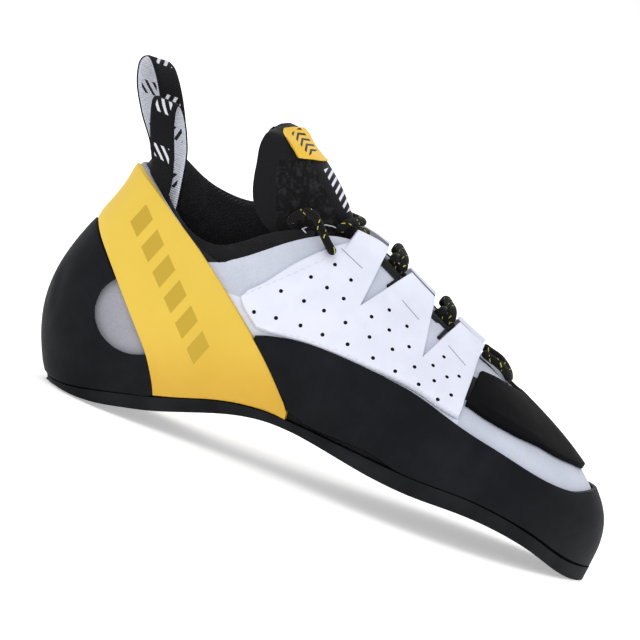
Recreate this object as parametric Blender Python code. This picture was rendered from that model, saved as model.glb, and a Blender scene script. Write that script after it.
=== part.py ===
"""Lace-up climbing shoe for the right foot, downturned, standing on its heel and toe.

Metres, +X towards the toe, +Z up, and the outer side of the foot is at -Y. The origin is on the
flat spot under the heel. Every piece is cut from one wall function, wall_point(turn, share): a row of
ribs stands round the shoe, each going from the sole's edge up to the edge of the collar or the throat.
"""

import math

import bmesh
import bpy
from mathutils import Vector

# Driving sizes
LENGTH = 0.244
BALL_WIDTH = 0.088
COLLAR_HEIGHT = 0.096
SOLE_THICKNESS = 0.007
SOLE_CROWN = 0.0018
HEEL_FLAT_END = 0.156
HEEL_FLAT_REACH = 0.2
TREAD_SHARES = (0.0, 0.12, 0.35, 0.65, 0.88, 1.0)
SOLE_PROUD = 0.0027
SOLE_EDGE_SLOPE = 0.0008
ARCH_LIFT = 0.004

UPPER_WALL = 0.0016
LASTING_MARGIN = 0.009
INSOLE_THICKNESS = 0.002
RAND_THICKNESS = 0.0018
RAND_SKIVE = 0.0008
STRAP_THICKNESS = 0.0021
STRAP_SKIVE = 0.0006
PATCH_THICKNESS = 0.0014
EYESTAY_THICKNESS = 0.0012
TAB_STAND = 0.0034
TUNNEL_LENGTH = 0.0055
TUNNEL_BULGE = 0.0026
EDGE_ROUND = 0.0006
EASE_SHARE = 0.06
CUFF_THICKNESS = 0.003
CUFF_DEPTH = 0.024
CUFF_ROWS = (0.016, 0.008, 0.0015)
TONGUE_THICKNESS = 0.0035
TONGUE_TAB_THICKNESS = 0.0011
LACE_DIAMETER = 0.0034
LOOP_WIDTH = 0.012
LOOP_THICKNESS = 0.0011

# Clearances
SEAT_GAP = 0.00045
MERGE_DISTANCE = 0.00002
WELD_DISTANCE = 0.00018
WALL_GAP = 0.0007
TONGUE_TAB_GAP = 0.00112
CUFF_GAP = 0.0009
EDGE_GAP = 0.00096
SOLE_GAP = 0.0008

# Where the frame's origin lies along the shoe, as a share of LENGTH from the back of the heel
HEEL_SPOT = 0.1381

# Columns of each turn of the wall, and the shares of a rib's rise at which the upper has its rows
COLUMNS_PER_RIB = 2
UPPER_ROWS = (0.0, 0.13, 0.29, 0.46, 0.62, 0.76, 0.89, 1.0)

# The ribs, from the heel's back along the outer side to the toe's tip and back along the inner side.
# foot_along and top_along are shares of LENGTH, foot_across and top_across of BALL_WIDTH, top_rise of
# COLLAR_HEIGHT. low, belly and shoulder say how far the wall stands out from the straight line between
# foot and top at a quarter, half and three quarters of its rise, as shares of BALL_WIDTH.
RIB_COLUMNS = ("foot_along", "foot_across", "top_along", "top_across", "top_rise", "low", "belly", "shoulder")
RIBS = (
    (0.050, 0.000, 0.072, 0.000, 1.000, 0.127, 0.134, 0.048),
    (0.070, -0.165, 0.087, -0.108, 0.984, 0.108, 0.119, 0.051),
    (0.120, -0.267, 0.120, -0.193, 0.922, 0.085, 0.097, 0.051),
    (0.189, -0.307, 0.181, -0.250, 0.818, 0.068, 0.080, 0.048),
    (0.263, -0.312, 0.251, -0.290, 0.745, 0.057, 0.074, 0.045),
    (0.337, -0.324, 0.329, -0.273, 0.896, 0.062, 0.091, 0.060),
    (0.411, -0.352, 0.402, -0.205, 1.012, 0.080, 0.117, 0.084),
    (0.484, -0.403, 0.480, -0.150, 1.014, 0.102, 0.145, 0.102),
    (0.558, -0.455, 0.550, -0.136, 0.924, 0.114, 0.159, 0.108),
    (0.632, -0.489, 0.620, -0.119, 0.835, 0.114, 0.165, 0.119),
    (0.706, -0.494, 0.685, -0.102, 0.762, 0.114, 0.176, 0.136),
    (0.780, -0.455, 0.726, -0.080, 0.724, 0.125, 0.190, 0.150),
    (0.853, -0.352, 0.751, -0.045, 0.693, 0.136, 0.203, 0.161),
    (0.919, -0.193, 0.761, -0.011, 0.682, 0.148, 0.216, 0.168),
    (0.968, -0.011, 0.765, 0.011, 0.677, 0.159, 0.231, 0.176),
    (0.993, 0.148, 0.767, 0.034, 0.677, 0.165, 0.238, 0.180),
    (0.984, 0.284, 0.765, 0.057, 0.677, 0.159, 0.231, 0.176),
    (0.935, 0.386, 0.761, 0.080, 0.682, 0.148, 0.219, 0.170),
    (0.865, 0.449, 0.751, 0.114, 0.698, 0.131, 0.207, 0.163),
    (0.788, 0.466, 0.726, 0.148, 0.729, 0.119, 0.190, 0.150),
    (0.710, 0.438, 0.685, 0.159, 0.766, 0.108, 0.174, 0.134),
    (0.636, 0.381, 0.620, 0.165, 0.839, 0.097, 0.163, 0.119),
    (0.562, 0.312, 0.550, 0.170, 0.927, 0.091, 0.157, 0.108),
    (0.489, 0.261, 0.480, 0.176, 1.016, 0.091, 0.148, 0.102),
    (0.415, 0.239, 0.402, 0.210, 1.031, 0.085, 0.136, 0.088),
    (0.341, 0.244, 0.329, 0.267, 0.979, 0.080, 0.119, 0.068),
    (0.267, 0.273, 0.251, 0.284, 0.927, 0.074, 0.097, 0.051),
    (0.193, 0.301, 0.181, 0.256, 0.943, 0.074, 0.085, 0.051),
    (0.120, 0.267, 0.120, 0.193, 0.985, 0.085, 0.097, 0.051),
    (0.070, 0.165, 0.087, 0.108, 1.000, 0.108, 0.119, 0.051),
)
RIB_COUNT = len(RIBS)
TOE_RIB = RIB_COUNT // 2

# The line where the outsole's side meets the rand: along (share of LENGTH), rise (share of COLLAR_HEIGHT)
SOLE_LINE = (
    (0.050, 0.031), (0.091, 0.040), (0.140, 0.073), (0.181, 0.102), (0.228, 0.129), (0.304, 0.195),
    (0.353, 0.227), (0.405, 0.244), (0.462, 0.246), (0.530, 0.240), (0.610, 0.230), (0.680, 0.222),
    (0.743, 0.225), (0.808, 0.208), (0.885, 0.158), (0.939, 0.099), (0.960, 0.083), (0.980, 0.072),
    (1.001, 0.067),
)
# Thickness of the outsole's side: along, share of SOLE_THICKNESS
SOLE_SIDE = (
    (0.050, 0.23), (0.091, 0.46), (0.140, 0.79), (0.181, 0.86), (0.304, 0.89), (0.353, 0.74), (0.405, 0.59),
    (0.462, 0.56), (0.530, 0.74), (0.610, 0.97), (0.743, 1.00), (0.808, 0.93), (0.885, 0.86), (0.939, 0.86),
    (0.960, 0.90), (0.980, 0.94), (1.001, 0.96),
)
# How far the outsole stands out of the wall: along, share of SOLE_PROUD
SOLE_WIDTH = ((0.050, 0.30), (0.130, 1.00))
# How much the inner side's sole line is lifted over the outer side's: along, share of ARCH_LIFT
ARCH_SHAPE = ((0.15, 0.0), (0.27, 0.6), (0.41, 1.0), (0.55, 0.7), (0.70, 0.2), (0.80, 0.0))

# Edges of the outer layers as seen from the side: along, rise
RAND_TOP = (
    (0.344, 0.532), (0.422, 0.575), (0.490, 0.580), (0.562, 0.566), (0.627, 0.545), (0.710, 0.484),
    (0.787, 0.443), (0.865, 0.392), (0.922, 0.371), (0.948, 0.385), (0.990, 0.396),
)
STRAP_REAR = (
    (0.042, 0.719), (0.054, 0.668), (0.087, 0.583), (0.130, 0.465), (0.195, 0.286), (0.222, 0.166),
    (0.229, 0.120),
)
STRAP_FRONT = (
    (0.072, 0.995), (0.124, 0.914), (0.178, 0.827), (0.232, 0.735), (0.316, 0.584), (0.380, 0.449),
    (0.421, 0.346), (0.455, 0.252),
)
PATCH_LOW = ((0.709, 0.556), (0.740, 0.524), (0.800, 0.499), (0.852, 0.484), (0.924, 0.452), (0.955, 0.445))
PATCH_CORNER = (0.711, 0.556)
PATCH_TOP = (0.718, 0.650)
PATCH_EASE = 0.2
# Upper edge of the toe patch: turn counted in ribs from the toe's tip, share of the rib's rise
PATCH_HIGH = ((-6.0, 0.80), (-5.0, 0.89), (-3.5, 0.95), (0.0, 0.965), (3.5, 0.95), (5.0, 0.89), (6.0, 0.80))

# The oval cut-out in each side of the heel rubber: along, rise, half length, half height
WINDOW = (0.157, 0.427, 0.070, 0.165)
WINDOW_SIDES = 28

# The perforated side panel, from the strap forwards: bottom (along, rise) and top of each column. The columns
# of the lace tabs end over the throat's edge, so theirs give only along, with 0 for the rise.
EYESTAY = (
    (0.312, 0.658, 0.316, 0.690),
    (0.328, 0.618, 0.338, 0.750),
    (0.345, 0.584, 0.359, 0.833),
    (0.374, 0.592, 0.390, 0.917),
    (0.400, 0.600, 0.417, 0.975),
    (0.416, 0.604, 0.435, 1.005),
    (0.420, 0.606, 0.440, 0.0),
    (0.455, 0.610, 0.475, 0.0),
    (0.490, 0.608, 0.508, 0.0),
    (0.525, 0.602, 0.540, 0.0),
    (0.560, 0.596, 0.572, 0.0),
    (0.594, 0.588, 0.605, 0.0),
    (0.628, 0.574, 0.638, 0.0),
    (0.662, 0.552, 0.670, 0.0),
    (0.697, 0.524, 0.700, 0.0),
)
# The two notches between the tabs: tip (along, rise) and the tabs' corners behind and before it
NOTCHES = {
    "notch_top": (0.490, 0.794, 0.499, 0.996, 0.541, 0.954),
    "notch_low": (0.614, 0.690, 0.603, 0.880, 0.645, 0.822),
}
EYESTAY_ROWS = (0.0, 0.25, 0.5, 0.75, 1.0)
TUNNEL_SWELL = (0.6, 1.0, 0.5)

# The black cuff's height over the upper's edge, in shares of COLLAR_HEIGHT: turn in ribs, height
CUFF_RISE = (
    (-5.7, 0.030), (-5.0, 0.056), (-4.0, 0.055), (-3.0, 0.068), (-2.0, 0.096), (-1.0, 0.060), (0.0, 0.028),
    (1.0, 0.026), (2.0, 0.026), (3.0, 0.014), (4.0, 0.066), (5.0, 0.070), (5.7, 0.030),
)
CUFF_END = 5.7

# The tongue from its root under the vamp to its top: middle line (along, rise), half width as a share of
# BALL_WIDTH, how far its edges wrap back as a share of LENGTH, the direction they wrap in, in degrees below
# the horizontal towards the heel, and how much of a half turn the wrap takes, in degrees each way
TONGUE = (
    (0.778, 0.640, 0.070, 0.010, 80, 30),
    (0.744, 0.652, 0.095, 0.012, 80, 30),
    (0.705, 0.722, 0.125, 0.016, 80, 32),
    (0.648, 0.802, 0.150, 0.022, 75, 36),
    (0.583, 0.880, 0.155, 0.030, 65, 45),
    (0.521, 0.958, 0.160, 0.060, 45, 70),
    (0.476, 1.006, 0.165, 0.120, 25, 90),
    (0.450, 1.040, 0.172, 0.168, 10, 90),
    (0.430, 1.103, 0.190, 0.172, 4, 90),
    (0.402, 1.185, 0.215, 0.152, 0, 90),
    (0.366, 1.262, 0.212, 0.122, 0, 90),
    (0.328, 1.325, 0.175, 0.078, 0, 85),
    (0.294, 1.368, 0.105, 0.032, 20, 70),
)
TONGUE_COLUMNS = 10
# The tab on the tongue's top: row of the tongue, half of its sweep.
# Its lower edge is arched by a share of a row.
TONGUE_TAB = ((10.0, 0.64), (10.5, 0.70), (11.0, 0.76), (11.5, 0.81), (12.0, 0.86))
TONGUE_TAB_ARCH = 0.4

# The crossings of the lace over the tongue: along of the tab end behind and of the one before it, and how
# high the lower and the upper strand are bowed over the straight line between their ends
CROSSINGS = {
    "lace_crossing_top": (0.499, 0.541, 0.0014, 0.0042),
    "lace_crossing_low": (0.603, 0.645, 0.0012, 0.0040),
}
LACE_OUT = 0.0026
LACE_SHARE = 1.01
LACE_GAP = 0.0024

# The lace's bight over the throat's end: along, across, rise
TOE_BIGHT = (
    (0.739, -0.085, 0.752), (0.756, -0.035, 0.737), (0.763, 0.035, 0.732), (0.758, 0.105, 0.737),
    (0.740, 0.155, 0.755),
)
TAB_FRONT = 0.7015
CORD_RUN = 0.012

# The lace's ends, from the hindmost tab over the cuff and down beside the tongue: along, across, rise
LACE_END_OUTER = (
    (0.4164, -0.309, 0.959), (0.4029, -0.305, 0.988), (0.3909, -0.298, 1.017), (0.3775, -0.284, 1.049),
    (0.3647, -0.260, 1.070), (0.3498, -0.226, 1.058), (0.3390, -0.208, 1.028), (0.3326, -0.195, 0.992),
)
LACE_END_INNER = (
    (0.4355, 0.217, 1.050), (0.4235, 0.224, 1.050),
    (0.410, 0.256, 1.072), (0.386, 0.243, 1.115), (0.360, 0.230, 1.132),
    (0.342, 0.222, 1.110), (0.333, 0.216, 1.068),
)
# The strands over the tongue above the top tabs, joined by a turn on the inner side: along, across, rise
LACE_REAR = (
    (0.4373, -0.127, 1.033), (0.4442, -0.116, 1.051), (0.4500, -0.078, 1.057), (0.4553, -0.040, 1.056),
    (0.4574, 0.000, 1.056), (0.4545, 0.045, 1.053), (0.4463, 0.098, 1.048), (0.4369, 0.145, 1.046),
    (0.4246, 0.165, 1.062), (0.4192, 0.139, 1.085), (0.4299, 0.086, 1.092), (0.4418, 0.041, 1.093),
    (0.4455, 0.000, 1.093), (0.4414, -0.045, 1.094), (0.4328, -0.093, 1.090), (0.4238, -0.134, 1.075),
    (0.4168, -0.151, 1.052), (0.4127, -0.152, 1.029),
)
CORD_STEPS = 3
REAR_STEPS = 2

# The pull loops: turn of the rim they stand on, rise of the top over the rim (share of COLLAR_HEIGHT),
# how far they open and how far they lean back (shares of LOOP_WIDTH)
PULL_LOOPS = {"pull_loop_outer": (1.85, 0.375, 0.70, 0.90), "pull_loop_inner": (-1.55, 0.430, 1.00, 1.45)}
# Their shape: share of the opening, share of the rise; it starts on the rim and ends inside the cuff
LOOP_PATH = (
    (0.00, 0.020), (-0.05, 0.20), (-0.12, 0.45), (-0.10, 0.70), (0.05, 0.90), (0.35, 0.99), (0.65, 0.98),
    (0.92, 0.86), (1.04, 0.66), (1.02, 0.42),
)
LOOP_INSIDE = (0.0078, -0.30)
LOOP_FORWARD = 0.003

COLOURS = {
    "grey_microfibre": ((0.62, 0.65, 0.70, 1.0), 0.75),
    "white_synthetic": ((0.86, 0.88, 0.93, 1.0), 0.45),
    "black_rubber": ((0.018, 0.018, 0.021, 1.0), 0.55),
    "yellow_rubber": ((0.85, 0.52, 0.07, 1.0), 0.5),
    "black_knit": ((0.012, 0.012, 0.014, 1.0), 0.9),
    "black_mesh": ((0.014, 0.014, 0.018, 1.0), 0.85),
    "black_cord": ((0.012, 0.012, 0.012, 1.0), 0.8),
    "black_webbing": ((0.020, 0.018, 0.025, 1.0), 0.8),
    "insole_fabric": ((0.20, 0.21, 0.22, 1.0), 0.9),
}


def clear_scene():
    """Removes what the file opened with."""
    for thing in list(bpy.data.objects):
        bpy.data.objects.remove(thing)


def along(share):
    """The x of a share of the length, from the back of the heel."""
    return (share - HEEL_SPOT) * LENGTH


def smooth_value(rows, at, column=1):
    """The value of a table's column at a place in its first column, on a smooth curve through the rows."""
    places = [row[0] for row in rows]
    values = [row[column] for row in rows]
    if at <= places[0]:
        return values[0]
    if at >= places[-1]:
        return values[-1]
    i = max(k for k in range(len(rows) - 1) if places[k] <= at)
    span = places[i + 1] - places[i]

    def slope(k):
        low = max(k - 1, 0)
        high = min(k + 1, len(rows) - 1)
        return (values[high] - values[low]) / (places[high] - places[low])

    u = (at - places[i]) / span
    return (
        values[i] * (1 + 2 * u) * (1 - u) ** 2
        + slope(i) * span * u * (1 - u) ** 2
        + values[i + 1] * u * u * (3 - 2 * u)
        - slope(i + 1) * span * u * u * (1 - u)
    )


def rib_value(turn, name):
    """A column of the rib table at any turn, which is a place between ribs, on a closed smooth curve."""
    column = RIB_COLUMNS.index(name)
    i = math.floor(turn)
    u = turn - i
    a, b, c, d = (RIBS[(i + k) % RIB_COUNT][column] for k in (-1, 0, 1, 2))
    return b + 0.5 * u * (c - a + u * (2 * a - 5 * b + 4 * c - d + u * (3 * (b - c) + d - a)))


def signed_turn(turn):
    """The turn counted from the heel's back: positive on the outer side, negative on the inner side."""
    turn = turn % RIB_COUNT
    return turn if turn <= TOE_RIB else turn - RIB_COUNT


def foot_plan(turn):
    """The sole's edge seen from above."""
    return Vector((along(rib_value(turn, "foot_along")), rib_value(turn, "foot_across") * BALL_WIDTH, 0))


def out_direction(turn):
    """The level direction that points out of the shoe at a turn."""
    step = foot_plan(turn + 0.25) - foot_plan(turn - 0.25)
    return Vector((step.y, -step.x, 0)).normalized()


def on_sole(point, lift=0.0):
    """A point seen from above, set on the outsole's top, which is twisted up at the arch's inner side."""
    place = point.x / LENGTH + HEEL_SPOT
    inner = min(max(point.y / BALL_WIDTH + 0.5, 0.0), 1.0)
    height = smooth_value(SOLE_LINE, place) * COLLAR_HEIGHT
    twist = smooth_value(ARCH_SHAPE, place) * ARCH_LIFT * inner
    return Vector((point.x, point.y, height + twist + lift))


def foot_point(turn):
    """The foot of the wall at a turn."""
    return on_sole(foot_plan(turn))


def sole_line_height(turn):
    """The height of the line between the outsole's side and the wall."""
    return foot_point(turn).z


def top_point(turn):
    """The edge of the collar or throat at a turn."""
    return Vector((
        along(rib_value(turn, "top_along")),
        rib_value(turn, "top_across") * BALL_WIDTH,
        rib_value(turn, "top_rise") * COLLAR_HEIGHT,
    ))


def bulge(share, low, belly, shoulder):
    """A smooth bow, 0 at both ends, with the three values at a quarter, half and three quarters."""
    ends = share * (share - 1)
    return ends * (
        -(share - 0.5) * (share - 0.75) * low * 128 / 3
        + (share - 0.25) * (share - 0.75) * belly * 64
        - (share - 0.25) * (share - 0.5) * shoulder * 128 / 3
    )


def wall_point(turn, share):
    """The outer face of the upper at a turn and a share of the rise."""
    foot = foot_point(turn)
    bow = bulge(share, *(rib_value(turn, name) for name in ("low", "belly", "shoulder"))) * BALL_WIDTH
    return foot.lerp(top_point(turn), share) + out_direction(turn) * bow


def wall_normal(turn, share):
    """The wall's outward direction, never pointing down, so that a layer keeps clear of the sole."""
    step = 0.02
    across = wall_point(turn + step, share) - wall_point(turn - step, share)
    up = wall_point(turn, share + step) - wall_point(turn, share - step)
    normal = across.cross(up)
    if normal.dot(out_direction(turn)) < 0:
        normal.negate()
    normal.normalize()
    return Vector((normal.x, normal.y, max(normal.z, 0.0))).normalized()


def layer_point(turn, share, distance):
    """A point off the upper's outer face, outwards if distance is above 0."""
    return wall_point(turn, share) + wall_normal(turn, share) * distance


def share_at_height(turn, height):
    """The share of a rib's rise at a height."""
    foot = sole_line_height(turn)
    return (height - foot) / (rib_value(turn, "top_rise") * COLLAR_HEIGHT - foot)


def share_at_edge(turn, edge):
    """The share where a rib meets an edge drawn from the side, found by halving."""
    low, high = -0.2, 1.15
    for _ in range(30):
        middle = (low + high) / 2
        point = wall_point(turn, middle)
        if point.z < smooth_value(edge, point.x / LENGTH + HEEL_SPOT) * COLLAR_HEIGHT:
            low = middle
        else:
            high = middle
    return (low + high) / 2


def turn_at(side, place, rise):
    """The turn and share of a point drawn from the side, on the outer side (1) or the inner side (-1)."""
    low, high = 1.0, TOE_RIB - 1.0
    for _ in range(30):
        middle = (low + high) / 2
        share = share_at_height(side * middle, rise * COLLAR_HEIGHT)
        if wall_point(side * middle, share).x < along(place):
            low = middle
        else:
            high = middle
    return side * low, share_at_height(side * low, rise * COLLAR_HEIGHT)


def throat_turn(side, place):
    """The turn whose top edge is at a share of the length, on the outer side (1) or the inner side (-1)."""
    low, high = 3.0, TOE_RIB - 1.0
    for _ in range(30):
        middle = (low + high) / 2
        if rib_value(side * middle, "top_along") < place:
            low = middle
        else:
            high = middle
    return side * low


def tip_turn(side, low_share, high_share, last, height):
    """The turn, coming from the heel, at which a layer's height has shrunk to a given one."""
    low, high = 1.0, last
    for _ in range(30):
        turn = side * (low + high) / 2
        if (high_share(turn) - low_share(turn)) * rise_of(turn) > height:
            low = side * turn
        else:
            high = side * turn
    return side * low


def turns_between(first, last, extra=()):
    """The wall's columns from one turn to another, with both ends and any extra ones."""
    step = 1 / COLUMNS_PER_RIB
    inner = [k * step for k in range(math.ceil(first / step), math.floor(last / step) + 1)]
    inner = [turn for turn in inner if all(abs(turn - other) > step / 25 for other in extra)]
    inner = sorted([*inner, *extra])
    inner = [turn for turn in inner if turn - first > step / 4 and last - turn > step / 4]
    return [first, *inner, last]


def sections():
    """The cross sections of the bottom: each a turn on the outer side, whose mirror is on the inner side."""
    return [k / COLUMNS_PER_RIB for k in range(TOE_RIB * COLUMNS_PER_RIB + 1)]


def link(name, mesh, colour):
    """Adds a mesh as a named piece of the shoe with its own material."""
    piece = bpy.data.objects.new(name, mesh)
    bpy.data.collections["climbing_shoe"].objects.link(piece)
    base, roughness = COLOURS[colour]
    material = bpy.data.materials.new(name)
    material.use_nodes = True
    shader = material.node_tree.nodes["Principled BSDF"]
    shader.inputs["Base Color"].default_value = base
    shader.inputs["Roughness"].default_value = roughness
    shader.inputs["Metallic"].default_value = 0.0
    mesh.materials.append(material)
    mesh.shade_smooth()
    mesh.set_sharp_from_angle(angle=math.radians(40))
    return piece


def loft(name, columns):
    """A body through closed sections, with doubles merged. Its first and last sections are lines."""
    build = bmesh.new()
    grid = [[build.verts.new(point) for point in column] for column in columns]
    for left, right in zip(grid, grid[1:]):
        for k in range(len(left) - 1):
            build.faces.new((left[k], right[k], right[k + 1], left[k + 1]))
    bmesh.ops.remove_doubles(build, verts=build.verts, dist=MERGE_DISTANCE)
    bmesh.ops.recalc_face_normals(build, faces=build.faces)
    mesh = bpy.data.meshes.new(name)
    build.to_mesh(mesh)
    build.free()
    return mesh


def tube(name, rings, closed=False):
    """A closed body through closed rings of points: a loop of them, or a row with its two ends filled."""
    build = bmesh.new()
    grid = [[build.verts.new(point) for point in ring] for ring in rings]
    for left, right in list(zip(grid, grid[1:])) + ([(grid[-1], grid[0])] if closed else []):
        for k in range(len(left)):
            n = (k + 1) % len(left)
            build.faces.new((left[k], right[k], right[n], left[n]))
    if not closed:
        build.faces.new(grid[0])
        build.faces.new(grid[-1])
    bmesh.ops.remove_doubles(build, verts=build.verts, dist=MERGE_DISTANCE)
    bmesh.ops.recalc_face_normals(build, faces=build.faces)
    mesh = bpy.data.meshes.new(name)
    build.to_mesh(mesh)
    build.free()
    return mesh


def rise_of(turn):
    """The height of a rib."""
    return rib_value(turn, "top_rise") * COLLAR_HEIGHT - sole_line_height(turn)


def layer(name, columns, thickness, colour, bulge_at=None):
    """A layer on the wall through columns of (turn, share) from low to high, its outer edges eased.

    bulge_at gives how much thicker the layer is at a column and row: more over the lace, less at a thin edge.
    """
    rings = []
    for i, column in enumerate(columns):
        inner = [layer_point(turn, share, WALL_GAP) for turn, share in column]
        outer = []
        for k, (turn, share) in enumerate(column):
            ease = min(EDGE_ROUND / rise_of(turn), (column[-1][1] - column[0][1]) * EASE_SHARE)
            share += ease * (k == 0) - ease * (k == len(column) - 1)
            extra = bulge_at(i, k) if bulge_at else 0.0
            outer.append(layer_point(turn, share, WALL_GAP + thickness + extra))
        rings.append(inner + outer[::-1])
    return link(name, tube(name, rings), colour)


def spread(low, high, count):
    """Shares from low to high in even steps."""
    return [low + (high - low) * k / (count - 1) for k in range(count)]


def make_upper():
    """The grey upper: one wall from the turned-in lasting margin to the collar and throat."""
    rings = []
    for turn in [k / COLUMNS_PER_RIB for k in range(RIB_COUNT * COLUMNS_PER_RIB)]:
        margin = foot_plan(turn) - out_direction(turn) * LASTING_MARGIN
        corner = foot_plan(turn) - out_direction(turn) * UPPER_WALL
        ring = [on_sole(margin)] + [wall_point(turn, share) for share in UPPER_ROWS]
        ring += [layer_point(turn, share, -UPPER_WALL) for share in UPPER_ROWS[:0:-1]]
        ring += [on_sole(corner, UPPER_WALL), on_sole(margin, UPPER_WALL)]
        rings.append(ring)
    return link("upper", tube("upper", rings, closed=True), "grey_microfibre")


def sole_edge(turn, further=0.0):
    """The outsole's edge seen from above."""
    proud = SOLE_PROUD * smooth_value(SOLE_WIDTH, rib_value(turn, "foot_along"))
    return foot_plan(turn) + out_direction(turn) * (proud + further)


def tread_point(turn, share):
    """A point of the tread: share is 0 at the outer side's edge and 1 at the inner side's."""
    outer, inner = sole_edge(turn, -SOLE_EDGE_SLOPE), sole_edge(-turn, -SOLE_EDGE_SLOPE)
    point = on_sole(outer.lerp(inner, share))
    place = point.x / LENGTH + HEEL_SPOT
    point.z -= smooth_value(SOLE_SIDE, place) * SOLE_THICKNESS + SOLE_CROWN * 4 * share * (1 - share)
    if place < HEEL_FLAT_END and abs(share - 0.5) < HEEL_FLAT_REACH:
        point.z = 0.0
    point.z = max(point.z, 0.0)
    return point


def make_outsole():
    """The full-length rubber outsole: top, side and tread, with flat spots at the heel and the toe."""
    columns = []
    for turn in sections():
        outer, inner = sole_edge(turn), sole_edge(-turn)
        column = [on_sole(inner.lerp(outer, s), -SEAT_GAP) for s in (0.0, 0.25, 0.5, 0.75, 1.0)]
        column += [tread_point(turn, s) for s in TREAD_SHARES]
        columns.append(column + column[:1])
    return link("outsole", loft("outsole", columns), "black_rubber")


def make_insole():
    """The footbed that lies on the lasting margin inside the shoe."""
    inset = UPPER_WALL + WALL_GAP + SEAT_GAP
    low = UPPER_WALL + WALL_GAP
    columns = []
    for turn in sections():
        outer = foot_plan(turn) - out_direction(turn) * inset
        inner = foot_plan(-turn) - out_direction(-turn) * inset
        shares = (0.0, 0.25, 0.5, 0.75, 1.0)
        column = [on_sole(inner.lerp(outer, s), low + INSOLE_THICKNESS) for s in shares]
        column += [on_sole(outer.lerp(inner, s), low) for s in shares]
        columns.append(column + column[:1])
    return link("insole", loft("insole", columns), "insole_fabric")


def sole_share(turn):
    """The share at which the layers on the wall start, just over the outsole's edge."""
    return share_at_height(turn, sole_line_height(turn) + SOLE_GAP)


def strap_front(turn):
    """The share of the strap's front edge, which meets the upper's edge behind."""
    return min(share_at_edge(turn, STRAP_FRONT), 1.0)


def strap_rear(turn):
    """The share of the strap's rear edge, or of the sole in front of it."""
    return max(sole_share(turn), share_at_edge(turn, STRAP_REAR)) if abs(turn) < 5 else sole_share(turn)


def beside(turn, share):
    """A share just over another, by the gap that two layers side by side keep."""
    return share + EDGE_GAP / rise_of(turn)


def strap_tip(side):
    """The turn of the strap's front tip."""
    return tip_turn(side, sole_share, strap_front, 9.0, 0.0025)


def heel_rand_tip(side):
    """The turn of the front end of the heel's rubber."""
    return tip_turn(side, sole_share, lambda turn: strap_rear(turn) - EDGE_GAP / rise_of(turn), 5.0, 0.0015)


def heel_corner_turns():
    """Extra columns where the strap's rear edge runs down to the sole, at the heel rubber's ends."""
    inner, outer = heel_rand_tip(-1), heel_rand_tip(1)
    return inner, inner + 0.17, inner + 0.34, outer - 0.34, outer - 0.17, outer


def make_rand():
    """The black rubber band round the forefoot, from the heel strap on one side to the other."""
    def low_share(turn):
        if abs(signed_turn(turn)) >= 9:
            return sole_share(turn)
        return max(sole_share(turn), beside(turn, strap_front(turn)))

    def high_share(turn):
        return share_at_edge(turn, RAND_TOP)

    ends = []
    for side in (1, -1):
        low, high = 3.0, 9.0
        for _ in range(30):
            turn = side * (low + high) / 2
            if (high_share(turn) - low_share(turn)) * rise_of(turn) < 0.0015:
                low = side * turn
            else:
                high = side * turn
        ends.append(side * high)
    tips = (strap_tip(1), RIB_COUNT + strap_tip(-1))
    columns = []
    for turn in turns_between(ends[0], RIB_COUNT + ends[1], tips):
        columns.append([(turn, share) for share in spread(low_share(turn), high_share(turn), 5)])
    return layer("rand", columns, RAND_THICKNESS, "black_rubber", lambda i, k: -RAND_SKIVE * (k == 4))


def make_strap():
    """The yellow tension strap from the sole's edge up round the heel and down the other side."""
    columns = []
    for turn in turns_between(strap_tip(-1), strap_tip(1), heel_corner_turns()):
        columns.append([(turn, share) for share in spread(strap_rear(turn), strap_front(turn), 9)])

    def thin_edges(i, k):
        return -STRAP_SKIVE * (k in (0, 8))

    return layer("heel_strap", columns, STRAP_THICKNESS, "yellow_rubber", thin_edges)


def make_heel_rand():
    """The black heel rubber under the strap, with an oval window cut through each side."""
    columns = []
    for turn in turns_between(heel_rand_tip(-1), heel_rand_tip(1), heel_corner_turns()[1:-1]):
        high = strap_rear(turn) - EDGE_GAP / rise_of(turn)
        columns.append([(turn, share) for share in spread(sole_share(turn), high, 7)])
    piece = layer("heel_rand", columns, RAND_THICKNESS, "black_rubber")
    place, rise, half_length, half_height = WINDOW
    bpy.ops.mesh.primitive_cylinder_add(
        vertices=WINDOW_SIDES, radius=1.0, depth=BALL_WIDTH * 1.5, rotation=(math.pi / 2, 0, 0),
        location=(along(place), 0, rise * COLLAR_HEIGHT),
    )
    cutter = bpy.context.object
    cutter.name = "window_cutter"
    cutter.scale = (half_length * LENGTH, half_height * COLLAR_HEIGHT, 1.0)
    cut(piece, [cutter])
    return piece


def cut(piece, cutters):
    """Cuts a piece with tools that stay in the scene, hidden, and welds the slivers that they leave."""
    for cutter in cutters:
        cutter.hide_render = True
        cutter.display_type = "WIRE"
        for group in list(cutter.users_collection):
            group.objects.unlink(cutter)
        bpy.data.collections["cutters"].objects.link(cutter)
        boolean = piece.modifiers.new("cut", "BOOLEAN")
        boolean.operation = "DIFFERENCE"
        boolean.solver = "EXACT"
        boolean.object = cutter
    piece.modifiers.new("facets", "TRIANGULATE")
    weld = piece.modifiers.new("weld", "WELD")
    weld.merge_threshold = WELD_DISTANCE


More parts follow.
